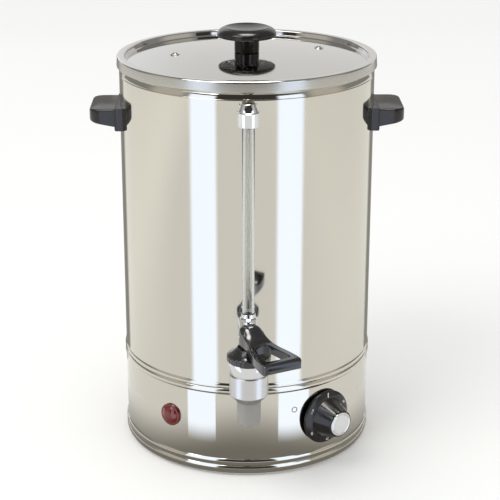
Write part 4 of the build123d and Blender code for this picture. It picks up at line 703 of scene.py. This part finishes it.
@dataclass
class LidKnob:
    """Black moulded knob with a dished head on a short stem."""

    foot: float = 398.2
    top: float = 422.8
    head: float = 9.2
    radius: float = 28.9
    band: float = 4.0
    slope_run: float = 7.1
    slope_bow: float = 1.0
    stem: float = 12.2
    dish: float = 3.0
    sides: int = 160

    def build(self) -> None:
        """Turns the knob: stem, flat underside, upright band, a top that slopes in, and a shallow dish."""
        low, foot = self.top - self.head, self.foot + 0.1
        profile = [(0, foot), (self.stem - 0.8, foot)]
        profile += arc((self.stem - 0.8, foot + 0.8), 0.8, -90, 0, 4)
        profile += arc((self.stem + 2.6, low - 2.6), 2.6, 180, 90, 6)
        profile += arc((self.radius - 1.4, low + 1.4), 1.4, -90, 0, 6)
        start, bow = (self.radius, low + self.band), 0.7 * self.slope_bow
        profile += bowed(start, (self.radius - self.slope_run, self.top - 0.3), (bow, bow), 12)
        profile += arc((self.radius - self.slope_run - 0.7, self.top - 1.1), 1.1, 62, 118, 6)
        edge, depth = profile[-1], self.dish - 0.3
        sphere = (edge[0] ** 2 + depth ** 2) / (2 * depth)
        centre = edge[1] - depth + sphere
        profile += [(r, centre - math.sqrt(sphere ** 2 - r ** 2)) for r in (19, 16, 13, 10, 7, 4, 0)]
        piece = lathe("lid_knob_moulded", profile, self.sides, angle=35)
        install(piece, "lid", PHENOLIC, ["lid_knob"])


@dataclass
class Handle:
    """Moulded side handle with a finger recess underneath."""

    side: Side
    wall: float = 125.0
    reach: float = 28.5
    half: float = 32.0
    top: float = 348.0
    root_depth: float = 17.6
    tip_depth: float = 12.8
    root_reach: float = 4.0
    above: float = 1.2
    below: float = 3.6
    corner: float = 11.0
    skin: float = 4.6
    recess_start: float = 137.4
    grip_round: float = 2.2
    root_round: float = 1.7
    recess_round: float = 5.0

    def build(self) -> None:
        """Moulds the handle on the +X side and mirrors it for the other one."""
        start, bend, end = self.wall - 12, self.wall + self.root_reach, self.wall + self.reach
        low, title = self.top - self.root_depth, self.side.name.lower()
        grip = box(f"{title}_handle_moulded", (start, -self.half, low), (end, self.half, self.top))
        round_edges(grip, lambda a, b: min(a.x, b.x) > end - 1 and abs(a.z - b.z) > 1, self.corner, 10)
        edit_parts(grip, "FACE")
        bpy.ops.mesh.select_all(action="SELECT")
        bpy.ops.mesh.bisect(plane_co=(bend * MM, 0, 0), plane_no=(1, 0, 0))
        leave_edit()
        slope = (self.root_depth - self.tip_depth) / (self.reach - self.root_reach)
        for vertex in grip.data.vertices:
            place = vertex.co / MM
            if place.z < low + 0.1 and place.x > bend:
                vertex.co.z += (place.x - bend) * slope * MM
        self.hollow(grip, low)
        round_sharp(grip, self.grip_round, 4, 40)
        wide = self.half + 1
        root = box("root", (start, -wide, low - self.below), (bend, wide, self.top + self.above))
        round_edges(root, lambda a, b: a.x > self.wall and b.x > self.wall, self.root_round, 4)
        boolean(grip, root, "UNION")
        boolean(grip, cylinder(self.wall + 0.15, self.top), "DIFFERENCE")
        if self.side is Side.LEFT:
            grip.scale = (-1, 1, 1)
            settle(grip)
        tidy_mesh(grip)
        smooth(grip, 32)
        install(grip, "urn", PHENOLIC, [f"{title}_handle"])

    def hollow(self, grip: bpy.types.Object, low: float) -> None:
        """Cuts the finger recess into the underside of a grip."""
        reach, half = self.wall + self.reach - self.skin, self.half - self.skin
        cutter = box("recess", (self.recess_start, -half, low - 6), (reach, half, self.top - self.skin))
        round_edges(cutter, lambda a, b: abs(a.z - b.z) > 1, self.recess_round, 6)
        boolean(grip, cutter, "DIFFERENCE")


# ---------------------------------------------------------------- sight glass
@dataclass
class SightGlass:
    """Glass tube between a chrome top fitting and a chrome foot."""

    axis: float = -140.0
    tube: float = 5.7
    bore: float = 4.0
    foot: float = 175.2
    head_low: float = 359.0
    shoulder: float = 373.0
    head_top: float = 381.0
    head_radius: float = 10.2
    cap_radius: float = 6.5
    port: float = 366.0
    stub_start: float = 116.0
    cup_depth: float = 4.2
    cup_radius: float = 6.8
    riser: float = 4.6
    riser_start: float = 133.5
    boss_top: float = 140.0

    def head(self) -> None:
        """The top fitting with its stub through the wall."""
        inner, low, shoulder, top = self.tube + 0.6, self.head_low, self.shoulder, self.head_top
        profile = [(inner, low + self.cup_depth), (inner, low + 0.6), (inner + 0.5, low)]
        profile += arc((self.head_radius - 1.6, low + 1.6), 1.6, -90, 0, 6)
        profile += [(self.head_radius, shoulder - 0.5), (self.head_radius - 0.5, shoulder)]
        profile += [(self.head_radius - 1.0, shoulder + 0.3), (self.cap_radius + 0.5, top - 1.6)]
        profile += arc((self.cap_radius - 1.0, top - 1.2), 1.2, 10, 90, 5)
        profile += [(0, top), (0, low + self.cup_depth)]
        piece = lathe("gauge_head_chromed", profile, 96, (0, self.axis))
        stem = [(0, 0), (4.5, 0), (4.5, 10.2), (7.1, 10.2), *arc((6.3, 14), 0.8, 0, 60, 4)]
        stub = lathe("stub", stem + [(4.9, 15.6), (4.9, 22), (0, 22)], 64)
        stand_out(stub, 0, self.port, self.stub_start)
        boolean(piece, stub, "UNION")
        smooth(piece, 30)
        install(piece, "urn", CHROME, ["gauge_top_fitting"])

    def glass(self) -> None:
        """The tube, with rounded ends."""
        high = self.head_low + self.cup_depth
        middle, wall = (self.tube + self.bore) / 2, (self.tube - self.bore) / 2
        profile = arc((middle, self.foot + wall), wall, -180, 0, 8)
        profile += arc((middle, high - wall), wall, 0, 180, 8)
        piece = lathe("gauge_glass_tube", profile, 96, (0, self.axis), angle=40)
        install(piece, "urn", GLASS, ["gauge_glass"])

    def foot_cup(self) -> None:
        """The riser from the tap's shank with the cup that carries the tube."""
        low, inner = self.foot - 3.4, self.tube + 0.6
        start, cup_top = self.riser_start, self.foot + self.cup_depth
        rise = [(0, start), (self.riser - 0.4, start), (self.riser - 0.4, self.boss_top)]
        ring = [(1.9, 0), (2.2, 0.4), (2.2, 2.6), (1.6, 3.2), (0, 3.6)]
        rise += shift(ring, self.riser, self.boss_top) + [(self.riser, low - 0.6)]
        rise += arc((self.riser + 0.1, low + 3.4), 3.7, -70, -12, 6)
        rise += [(self.cup_radius, low + 3.8), (self.cup_radius, cup_top - 0.3)]
        rise += [(self.cup_radius - 0.2, cup_top), (inner, cup_top), (inner, self.foot), (0, self.foot)]
        piece = lathe("gauge_riser_chromed", rise, 80, (0, self.axis), angle=30)
        install(piece, "urn", CHROME, ["gauge_riser"])

    def build(self) -> None:
        """Builds the sight glass from top to foot."""
        self.head()
        self.glass()
        self.foot_cup()


# ---------------------------------------------------------------- tap
@dataclass
class Tap:
    """Chrome tap barrel on its shank, with a nozzle, a knurled bonnet and a swivel collar."""

    axis: float = -182.0
    shank_z: float = 127.0
    radius: float = 18.0
    low: float = 110.0
    chamfer: float = 7.0
    waist: float = 137.0
    top: float = 150.0
    chamber: float = 12.8
    chamber_floor: float = 119.0
    outlet: float = 7.4
    spigot: float = 9.2
    flange_start: float = 126.2
    gauge_axis: float = -140.0
    boss_top: float = 140.0
    collar: tuple[float, float] = (163.1, 166.7)

    def barrel(self) -> None:
        """Barrel, shoulder, shank, flange and the boss under the sight glass."""
        r, w, low, bore = self.radius, self.waist, self.low, self.spigot
        profile = [(bore, low + 6), (bore, low), (r - self.chamfer + 0.8, low)]
        profile += arc((r - 2.2, low + self.chamfer + 0.6), 2.2, -42, 0, 5)
        profile += [(r, low + self.chamfer + 1.2)]
        groove = [(0, -1.3), (0, -0.7), (-0.3, -0.25), (-1.0, 0), (-0.7, 0.5), (-0.35, 1.4)]
        flare = [(0.15, 4), (0.7, 7), (1.2, 10), (1.45, 12), (1.2, 12.7), (0.6, 13)]
        profile += shift(groove + flare, r, w)
        profile += [(self.chamber, self.top), (self.chamber, self.chamber_floor)]
        profile += [(self.outlet, self.chamber_floor), (6.5, self.chamber_floor + 1), (6.5, low + 6)]
        piece = lathe("tap_barrel_chromed", profile, 128, (0, self.axis))
        shank = [(5.2, 0), (8, 0), (8, 19), (13.0, 19.0), *arc((12.2, 22.2), 0.8, 0, 90, 4), (10.6, 23.0)]
        shank += [*arc((11.4, 25.0), 1.9, -90, -180, 5), (9.5, 61.0), (5.2, 61.0)]
        neck = lathe("neck", shank, 80)
        stand_out(neck, 0, self.shank_z, self.flange_start - 19.0)
        boolean(piece, neck, "UNION")
        rise = [(4.6, self.shank_z + 6), (7, self.shank_z + 4)]
        rise += arc((6.2, self.boss_top - 0.8), 0.8, 0, 90, 4) + [(4.6, self.boss_top)]
        boss = lathe("boss", rise, 64, (0, self.gauge_axis))
        boolean(piece, boss, "UNION")
        smooth(piece, 30)
        install(piece, "urn", CHROME, ["tap_body"])
        second_finish(
            piece, SATIN_CHROME, lambda x, y, z: z < w - 0.1 and math.hypot(x, y - self.axis) < r + 0.1
        )

    def nozzle(self) -> None:
        """The pale outlet sleeve, with its lip and its spigot inside the barrel."""
        low, tip = self.low, self.low - 24.0
        profile = [(6.2, low + 6), (9.0, low + 6), (9.0, low - 0.05), (10.8, low - 0.05)]
        profile += arc((10.4, low - 0.9), 0.8, 80, 0, 4) + arc((8.4, tip + 2.4), 2.4, 0, -80, 6)
        profile += arc((8.0, tip + 0.6), 0.6, -90, -180, 4) + [(self.outlet, low - 3), (6.2, low)]
        piece = lathe("tap_nozzle_moulded", profile, 96, (0, self.axis), angle=35)
        install(piece, "urn", NOZZLE, ["tap_nozzle"])

    def bonnet(self) -> None:
        """The black bonnet: a knurled rim under a cone."""
        top, rim = self.top, 5.6
        profile = [(8.6, top - 7), (12.75, top - 7), (12.75, top + 0.05), (19.4, top + 0.05)]
        profile += arc((19.6, top + 0.85), 0.8, -90, 0, 4) + arc((19.6, top + rim - 0.8), 0.8, 0, 80, 4)
        profile += [(18.8, top + rim + 0.2), (15.6, top + rim + 2.3), (12.6, top + rim + 5.2)]
        profile += arc((10.0, top + rim + 5.4), 1.8, 20, 90, 5)
        profile += [(2.8, top + rim + 7.2), (2.8, top + rim + 3), (8.6, top + rim + 3)]
        piece = lathe("tap_bonnet_moulded", profile, 168, (0, self.axis))
        self.knurl(piece, top, rim)
        smooth(piece, 35)
        install(piece, "urn", NYLON, ["tap_bonnet"])

    def knurl(self, piece: bpy.types.Object, top: float, rim: float) -> None:
        """Presses scallops into the rim of the turned bonnet, which stands on the barrel's top."""
        lobes, depth = 28, 0.55
        for vertex in piece.data.vertices:
            x, y = vertex.co.x / MM, vertex.co.y / MM - self.axis
            radius, z = math.hypot(x, y), vertex.co.z / MM
            if radius > 19.0 and z < top + rim:
                wave = (1 - math.cos(math.atan2(y, x) * lobes)) / 2
                scale = 1 - depth * wave ** 2 / radius
                vertex.co.x, vertex.co.y = x * scale * MM, (y * scale + self.axis) * MM

    def swivel(self) -> None:
        """The collar that the lever's heel bears on."""
        (low, high), bore = self.collar, 2.8
        profile = [(bore, low), *arc((6.5, low + 0.5), 0.5, -90, 0, 3), (7.0, low + 1.5), (6.4, low + 2.0)]
        profile += arc((6.1, high - 0.5), 0.5, 0, 90, 3) + [(bore, high)]
        piece = lathe("swivel_collar_moulded", profile, 96, (0, self.axis), angle=35)
        install(piece, "lever_swivel", NYLON, ["slip_ring"])

    def build(self) -> None:
        """Builds the tap from nozzle to collar."""
        self.barrel()
        self.nozzle()
        self.bonnet()
        self.swivel()


@dataclass
class Lever:
    """Black loop lever: a domed, forked hub, two arms that slope down and a round grip bar."""

    axis: float = -182.0
    pin: float = 174.7
    yaw: float = 26.7
    middle: float = 3.0
    half: float = 10.6
    edge_round: float = 1.7
    slot_half: float = 2.8
    pin_half: float = 10.4
    pin_radius: float = 1.45
    stations: tuple[float, ...] = (
        -7.5, -7.1, -6.3, -5.0, -3.2, -1.0, 1.4, 3.6, 5.8, 8.0, 10.4, 13.0, 16.0, 19.5, 23.0, 25.0, 27.0,
        31.0, 36.0, 42.0, 48.0, 53.0, 56.0, 57.7, 60.5, 63.0, 65.6, 67.4, 68.3)
    window: tuple[float, float] = (25.0, 57.7)

    def outer(self, s: float) -> float:
        """Half width of the lever at a distance in front of the pin."""
        if s < self.middle:
            return math.sqrt(max(self.half ** 2 - (s - self.middle) ** 2, 1.2))
        return table(((11.0, 10.6), (16.0, 10.9), (22.0, 12.0), (30.0, 14.4), (38.0, 16.6), (46.0, 18.2),
                      (56.0, 18.9), (62.0, 19.0), (65.6, 18.4), (67.4, 17.0), (68.3, 14.5)), s)

    def inner(self, s: float) -> float:
        """Half width of the window at a distance in front of the pin, or of the core where there is none."""
        window = table(((25.0, 5.0), (27.0, 7.2), (36.0, 9.4), (46.0, 11.6), (53.0, 12.5), (56.0, 12.3),
                        (57.7, 11.0)), s)
        return min(window, self.outer(s) * 0.5) if s < self.window[0] - 1 else window

    def upper(self, s: float) -> float:
        """Height of the upper face above the pin, on the middle line."""
        return table(((-7.5, 5.0), (-7.1, 6.2), (-6.3, 7.4), (-5.0, 8.7), (-3.2, 9.8), (-1.0, 10.5),
                      (1.4, 10.8), (3.6, 10.6), (5.8, 9.8), (8.0, 8.4), (10.4, 6.5), (13.0, 4.5), (16.0, 2.6),
                      (19.5, 0.9), (23.0, -0.4), (27.0, -1.3), (31.0, -1.9), (36.0, -2.2), (48.0, -2.2),
                      (57.7, -1.9), (63.0, -1.8), (65.6, -2.6), (67.4, -4.2), (68.3, -6.6)), s)

    def fall(self, s: float) -> float:
        """How far the upper face drops from its middle line to its edge."""
        return table(((-7.5, 0.6), (-5.0, 2.6), (-1.0, 4.2), (5.8, 4.6), (10.4, 3.6), (16.0, 1.6),
                      (25.0, 0.7), (60.0, 0.5), (68.3, 0.2)), s)

    def lower(self, s: float) -> float:
        """Height of the lower face above the pin."""
        return table(((-7.5, -6.6), (-6.3, -7.7), (8.2, -7.7), (10.4, -8.0), (23.0, -9.7), (38.0, -10.3),
                      (53.0, -11.3), (57.7, -11.8), (63.0, -12.2), (65.6, -11.4), (67.4, -9.7),
                      (68.3, -7.4)), s)

    def across(self, s: float) -> list[float]:
        """Places of the eight columns of points at a station."""
        outer, inner = self.outer(s), self.inner(s)
        half = [inner, inner + 0.35 * (outer - inner), outer - 0.25 * (outer - inner), outer]
        return [-a for a in reversed(half)] + half

    def build(self) -> None:
        """Builds the lever and its pin."""
        deselect()
        columns = 8
        bpy.ops.mesh.primitive_grid_add(
            x_subdivisions=len(self.stations) - 1, y_subdivisions=columns - 1, size=2.0, location=(0, 0, 0)
        )
        piece = bpy.context.object
        piece.name = piece.data.name = "tap_lever_moulded"
        ordered = sorted(piece.data.vertices, key=lambda v: (round(v.co.x, 5), round(v.co.y, 5)))
        for place, vertex in enumerate(ordered):
            s = self.stations[place // columns]
            vertex.co = Vector((s, self.across(s)[place % columns], 0)) * MM
        low, high = self.window
        mesh = edit_parts(piece, "FACE")
        for face in mesh.faces:
            centre = face.calc_center_median() / MM
            face.select_set(low < centre.x < high and abs(centre.y) < 3)
        bmesh.update_edit_mesh(piece.data)
        bpy.ops.mesh.delete(type="FACE")
        bpy.ops.mesh.select_all(action="SELECT")
        bpy.ops.mesh.extrude_region_move(TRANSFORM_OT_translate={"value": (0, 0, MM)})
        leave_edit()
        for vertex in piece.data.vertices:
            s, across = vertex.co.x / MM, vertex.co.y / MM
            edge = abs(across) / self.outer(s)
            top = self.upper(s) - self.fall(s) * edge ** 2.4
            vertex.co.z = (top if vertex.co.z > MM / 2 else self.lower(s)) * MM
        tidy_mesh(piece, 1e-5)
        round_sharp(piece, self.edge_round, 3, 52)
        modify(piece, "SUBSURF", levels=1, render_levels=1)
        self.fork(piece)
        self.place(piece)
        tidy_mesh(piece)
        smooth(piece, 40)
        install(piece, "lever", NYLON, ["tap_lever"])
        self.rivet()

    def fork(self, piece: bpy.types.Object) -> None:
        """Opens the slot for the stem's eye from below, and the notch above it towards the back."""
        half = self.slot_half
        boolean(piece, box("slot", (-7.0, -half, -20), (7.0, half, 6.0)), "DIFFERENCE")
        boolean(piece, box("notch", (-14.4, -half, -20), (5.6, half, 20.0)), "DIFFERENCE")

    def place(self, piece: bpy.types.Object) -> None:
        """Turns a piece from the lever's own directions to its place on the tap."""
        turn = Matrix.Rotation(math.radians(self.yaw - 90), 4, "Z")
        piece.matrix_world = Matrix.Translation((0, self.axis * MM, self.pin * MM)) @ turn
        settle(piece)

    def rivet(self) -> None:
        """The pin through hub and stem, with domed ends."""
        half, radius = self.pin_half, self.pin_radius
        profile = [(0, -half), (1.0, -half + 0.1), (radius, -half + 0.6)]
        profile += [(r, -z) for r, z in reversed(profile)]
        pin = lathe("lever_pin_plated", profile, 32)
        pin.rotation_euler = (math.radians(90), 0, 0)
        settle(pin)
        self.place(pin)
        smooth(pin, 35)
        install(pin, "lever", CHROME, ["lever_pin"])


def table(points: Sequence[Point], at: float) -> float:
    """Value of a straight-line table at a place, held at its ends."""
    if at <= points[0][0]:
        return points[0][1]
    for (x0, y0), (x1, y1) in zip(points, points[1:]):
        if at <= x1:
            return y0 + (y1 - y0) * (at - x0) / (x1 - x0)
    return points[-1][1]


# ---------------------------------------------------------------- dial and lamp
@dataclass
class Dial:
    """Thermostat dial: a thin marked skirt, a tapering grip and a bright cap."""

    azimuth: float = 37.1
    height: float = 53.7
    back: float = 126.4
    radius: float = 27.2
    skirt: float = 3.6
    hub: float = 19.4
    nose: float = 13.7
    front: float = 150.2
    cap_depth: float = 1.3
    number_circle: float = 23.2
    number_size: float = 3.6

    def build(self) -> None:
        """Builds the dial and its markings."""
        deep = self.front - self.back
        profile = [(3.1, 0), (self.radius - 0.5, 0), *arc((self.radius - 0.7, 0.7), 0.7, -70, 0, 3)]
        profile += arc((self.radius - 0.8, self.skirt / 2 + 0.4), 0.8, 0, 60, 4)
        profile += [(self.radius - 4.6, self.skirt + 0.9), (self.hub + 1.6, self.skirt + 1.2)]
        profile += arc((self.hub + 1.5, self.skirt + 2.6), 1.4, -95, -170, 4)
        profile += [(self.nose + 0.5, deep - 1.8), *arc((self.nose - 1.0, deep - 1.3), 1.2, 8, 90, 5)]
        seat = deep - self.cap_depth
        profile += [(12.4, deep - 0.1), (12.2, seat), (0, seat), (0, 15.1), (3.1, 15.1)]
        piece = lathe("dial_moulded", profile, 144)
        self.flute(piece, deep)
        stand_out(piece, self.azimuth, self.height, self.back)
        smooth(piece, 32)
        install(piece, "dial", PHENOLIC, ["thermostat_knob"])
        self.cap(deep)
        self.marks()

    def flute(self, piece: bpy.types.Object, deep: float) -> None:
        """Presses shallow flutes into the grip, deeper towards its front."""
        flutes, depth, fade = 12, 0.5, 8
        for vertex in piece.data.vertices:
            x, y, z = (c / MM for c in vertex.co)
            radius = math.hypot(x, y)
            if self.skirt + 3 < z < deep - 0.2 and radius > 12.7:
                turn = math.atan2(y, x)
                share = min(1.0, (z - self.skirt - 3) / fade)
                scale = 1 - depth * share * (1 - math.cos(turn * flutes)) / 2 / radius
                vertex.co.x, vertex.co.y = x * scale * MM, y * scale * MM

    def cap(self, deep: float) -> None:
        """The bright cap, turned with a fine ring near its edge."""
        base = deep - self.cap_depth
        ring = [(10.7, 0.5), (10.4, 0.25), (10.0, 0.25), (9.7, 0.45), (5, 0.38), (0, 0.36)]
        profile = [(0, base), (12.1, base), *arc((11.6, deep + 0.05), 0.5, 0, 90, 4)] + shift(ring, 0, deep)
        piece = lathe("dial_cap_turned", profile, 120)
        stand_out(piece, self.azimuth, self.height, self.back)
        smooth(piece, 25)
        install(piece, "dial", CHROME, ["knob_cap"])

    def marks(self) -> None:
        """The index line and the numbers printed round the skirt."""
        face = self.back + self.skirt + 1.05
        line = box("dial_index_line", (-0.45, 20.8, -0.4), (0.45, 26.2, 0.12))
        modify(line, "BEVEL", width=0.12 * MM, segments=2)
        stand_out(line, self.azimuth, self.height, face)
        install(line, "dial", MARKING)
        for number, text in enumerate(("30", "50", "70", "90", "110")):
            turn = math.radians(-60 * (number + 1))
            deselect()
            bpy.ops.object.text_add(location=(0, 0, 0))
            words = bpy.context.object
            words.data.body = text
            words.data.size = self.number_size * MM
            words.data.align_x = words.data.align_y = "CENTER"
            words.data.extrude = 0.05 * MM
            pick(words)
            bpy.ops.object.convert(target="MESH")
            words = bpy.context.object
            words.name = words.data.name = f"dial_number_{text}"
            out = Matrix.Translation((0, self.number_circle * MM, 0))
            words.matrix_world = Matrix.Rotation(turn, 4, "Z") @ out
            settle(words)
            stand_out(words, self.azimuth, self.height, face)
            install(words, "dial", MARKING)


@dataclass
class PilotLamp:
    """Red pilot lamp: a flat flange with a domed lens."""

    azimuth: float = -37.4
    height: float = 55.6
    wall: float = 125.0
    radius: float = 11.3
    flange: float = 2.2
    dome: float = 3.4

    def build(self) -> None:
        """Turns the lens with its flange and cuts its back to the wall."""
        top = self.flange + self.dome
        profile = [(6.6, -3), (6.6, self.flange - 0.2), (0, self.flange - 0.2)]
        profile += shift([(0, 0), (3.0, -0.15), (5.6, -0.7), (7.6, -1.8)], 0, top)
        profile += [(9.0, self.flange + 0.5), (9.4, self.flange)]
        profile += arc((self.radius - 0.7, self.flange - 0.7), 0.7, 90, 0, 4) + [(self.radius, -3)]
        piece = lathe("pilot_lens_moulded", profile, 96)
        stand_out(piece, self.azimuth, self.height, self.wall)
        boolean(piece, cylinder(self.wall + 0.06, self.height), "DIFFERENCE")
        tidy_mesh(piece)
        smooth(piece, 25)
        install(piece, "urn", RED_LENS, ["lamp_lens"])


@dataclass
class WallMarks:
    """Small printed ring on the skirt beside the dial."""

    azimuth: float = 21.3
    height: float = 68.0
    wall: float = 125.0

    def build(self) -> None:
        """Builds the printed ring, laid on the skirt."""
        profile = [(2.2, -0.05), (3.0, -0.05), (3.0, 0.06), (2.2, 0.06)]
        piece = lathe("off_mark_ring", profile, 48)
        stand_out(piece, self.azimuth, self.height, self.wall)
        install(piece, "urn", DARK_MARK)


# ---------------------------------------------------------------- studio
@dataclass
class Studio:
    """Floor, lights, shades and camera."""

    camera_place: tuple[float, float, float] = (-0.0150, -1.4324, 0.69725)
    pitch: float = 19.37
    yaw: float = -0.6
    lens: float = 106.85
    shift: Point = (0.0064, -0.002)
    sensor: float = 36.0
    clip: Point = (0.05, 30.0)
    floor_size: float = 12.0

    def camera(self) -> None:
        """Stands the camera."""
        deselect()
        bpy.ops.object.camera_add(
            location=self.camera_place, rotation=(math.radians(90 - self.pitch), 0, math.radians(self.yaw))
        )
        camera = bpy.context.object
        camera.data.sensor_width = self.sensor
        camera.data.lens = self.lens
        camera.data.shift_x, camera.data.shift_y = self.shift
        camera.data.clip_start, camera.data.clip_end = self.clip
        bpy.context.scene.camera = camera

    def floor(self) -> None:
        """Lays a pale floor."""
        deselect()
        bpy.ops.mesh.primitive_plane_add(size=self.floor_size, location=(0, 0, 0))
        floor = bpy.context.object
        floor.name = floor.data.name = "floor"
        made = bpy.data.materials.new("pale_floor")
        made.use_nodes = True
        look = {"Base Color": (0.90, 0.90, 0.885, 1), "Roughness": 0.9, "Specular IOR Level": 0.1}
        feed(made.node_tree, made.node_tree.nodes["Principled BSDF"], look)
        floor.data.materials.append(made)

    def lamp(
        self, name: str, place: Sequence[float], aim: Sequence[float], size: Point, radiance: float,
        colour: Colour = (1.0, 1.0, 1.0),
    ) -> None:
        """Hangs one soft lamp.

        Args:
            name: name of the lamp.
            place: its centre, in metres.
            aim: the point that it faces, in metres.
            size: width and height, in metres.
            radiance: how bright its face is; 1 is white.
            colour: its colour.
        """
        deselect()
        bpy.ops.object.light_add(type="AREA", location=place)
        lamp = bpy.context.object
        lamp.name = name
        lamp.data.shape = "RECTANGLE"
        lamp.data.size, lamp.data.size_y = size
        lamp.data.energy = radiance * math.pi * size[0] * size[1]
        lamp.data.color = colour
        lamp.rotation_euler = (Vector(aim) - Vector(place)).to_track_quat("-Z", "Y").to_euler()
        lamp.visible_camera = False

    def card(
        self, name: str, place: Sequence[float], aim: Sequence[float], size: Point, colour: Colour,
        soft: float = 0.0, fade: CardFade = CardFade.SIDES,
    ) -> None:
        """Stands one studio card that only shows in polished surfaces.

        Args:
            name: name of the card.
            place: its centre, in metres.
            aim: the point that it faces, in metres.
            size: width and height, in metres.
            colour: how bright it is.
            soft: share of its size over which the card fades out.
            fade: where it fades out.
        """
        deselect()
        bpy.ops.mesh.primitive_plane_add(size=1.0, location=(0, 0, 0))
        card = bpy.context.object
        card.name = card.data.name = name
        card.scale = (size[0], size[1], 1)
        settle(card)
        card.location = place
        card.rotation_euler = (Vector(aim) - Vector(place)).to_track_quat("Z", "Y").to_euler()
        made = bpy.data.materials.new(name)
        made.use_nodes = True
        tree = made.node_tree
        tree.nodes.clear()
        surface = add_node(tree, "Emission", {"Color": (*colour, 1.0)}).outputs[0]
        if soft:
            reach = {
                CardFade.SIDES: (2 / size[0], 0, 0), CardFade.ROUND: (2 / size[0], 2 / size[1], 0),
                CardFade.FOOT: (0, 2 / size[1], 0),
            }[fade]
            spot = add_node(tree, "TexCoord").outputs["Object"]
            share = add_node(tree, "VectorMath", {0: spot, 1: reach}, operation="MULTIPLY").outputs[0]
            if fade is CardFade.FOOT:
                far = add_node(tree, "VectorMath", {0: share, 1: (0, -1, 0)}, operation="DOT_PRODUCT")
            else:
                far = add_node(tree, "VectorMath", {0: share}, operation="LENGTH")
            span = {"Value": far.outputs["Value"], "From Min": 1 - 2 * soft, "From Max": 1.0}
            edge = add_node(tree, "MapRange", span, interpolation_type="SMOOTHSTEP")
            clear = add_node(tree, "BsdfTransparent").outputs[0]
            mix = add_node(tree, "MixShader", {0: edge.outputs["Result"], 1: surface, 2: clear})
            surface = mix.outputs[0]
        add_node(tree, "OutputMaterial", {"Surface": surface})
        card.data.materials.append(made)
        card.visible_camera = card.visible_diffuse = card.visible_shadow = False
        card.visible_transmission = card.visible_volume_scatter = False

    def world(self) -> None:
        """A plain white surrounding, dimmer in reflections."""
        world = bpy.context.scene.world or bpy.data.worlds.new("World")
        bpy.context.scene.world = world
        world.use_nodes = True
        tree = world.node_tree
        ray = add_node(tree, "LightPath").outputs["Is Glossy Ray"]
        level = add_node(tree, "MapRange", {"Value": ray, "To Min": 1.0, "To Max": 0.30}).outputs["Result"]
        feed(tree, tree.nodes["Background"], {"Color": (1, 1, 1, 1), "Strength": level})

    def front_cards(self) -> None:
        """Bright strips in front of the tank, with their feet, and the dim room behind the camera."""
        strip, size, low = (1.44, 1.60, 1.94), (0.130, 0.47), CardFade.FOOT
        self.card("left_strip", (-0.1686, -0.2706, 0.235), (-0.035, -0.125, 0.235), size, strip, soft=0.16)
        self.card("right_strip", (0.1633, -0.2755, 0.235), (0.032, -0.131, 0.235), size, strip, soft=0.16)
        self.card("left_strip_foot", (-0.0895, -0.1609, 0.031), (-0.0352, -0.077, 0.031), (0.060, 0.062),
                  strip, soft=0.42, fade=low)
        self.card("right_strip_foot", (0.0889, -0.1604, 0.031), (0.0349, -0.0764, 0.031), (0.066, 0.062),
                  strip, soft=0.42, fade=low)
        self.card("dark_room", (0, -2.0, 1.05), (0, 0, 1.05), (5.0, 1.7), (0.05, 0.047, 0.045))

    def side_cards(self) -> None:
        """Cards on both sides: the room far out, and a shade close to the tank's edge."""
        room, shade = (0.62, 0.59, 0.54), (0.30, 0.29, 0.27)
        for side in Side:
            title, far, near = side.name.lower(), 2.4 * side.value, 0.188 * side.value
            self.card(f"dark_{title}", (far, -0.8, 1.05), (0, -0.8, 1.05), (2.4, 1.7), room, soft=0.3)
            self.card(f"{title}_side", (near, 0.16, 0.20), (near, -1.0, 0.20), (0.146, 0.40), shade,
                      soft=0.25)

    def far_cards(self) -> None:
        """Cards above, behind and underneath."""
        flat, above = CardFade.ROUND, (15.0, 14.6, 14.0)
        self.card("top_box", (0, -0.15, 1.9), (0, -0.15, 0), (1.1, 0.8), above, soft=0.2, fade=flat)
        self.card("back_wall", (0, 2.2, 1.0), (0, 0, 1.0), (4.0, 1.9), (0.84, 0.835, 0.83))
        self.card("left_back", (-0.85, 2.1, 1.0), (-0.85, 0, 1.0), (1.5, 1.9), (1.12, 1.15, 1.24), soft=0.4)
        self.card("front_floor", (-0.2, -0.9, 0.002), (-0.2, -0.9, 1.0), (3.0, 2.6), (0.92, 0.915, 0.92),
                  soft=0.25, fade=flat)
        self.card("foot_shade", (0, -0.05, 0.003), (0, -0.05, 1.0), (0.42, 0.52), (0.24, 0.23, 0.215),
                  soft=0.27, fade=flat)

    def build(self) -> None:
        """Sets up the studio."""
        bpy.context.scene.view_settings.view_transform = "Standard"
        self.camera()
        self.floor()
        self.world()
        self.lamp("key", (-0.9, -0.9, 1.7), (0, 0, 0.2), (1.0, 1.0), 4.0, (1.0, 0.99, 0.97))
        self.front_cards()
        self.side_cards()
        self.far_cards()


def dress_nodes(nodes: dict[str, bpy.types.Object]) -> None:
    """Gives every node of the frame its finish."""
    for finish, names in FINISHED_NODES.items():
        for name in names.split():
            dress(nodes[name], finish)


def main() -> None:
    """Builds the urn's pieces and the studio in order."""
    logging.basicConfig(level=logging.INFO, format="%(name)s: %(message)s")
    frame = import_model()
    dress_nodes(frame["nodes"])
    Studio().build()
    for maker in (Shell(), Lid(), LidKnob(), Handle(Side.RIGHT), Handle(Side.LEFT), SightGlass(), Tap(),
                  Lever(), Dial(), PilotLamp(), WallMarks()):
        maker.build()
        LOG.info("%s built", type(maker).__name__)
    deselect()


if __name__ == "__main__":
    main()
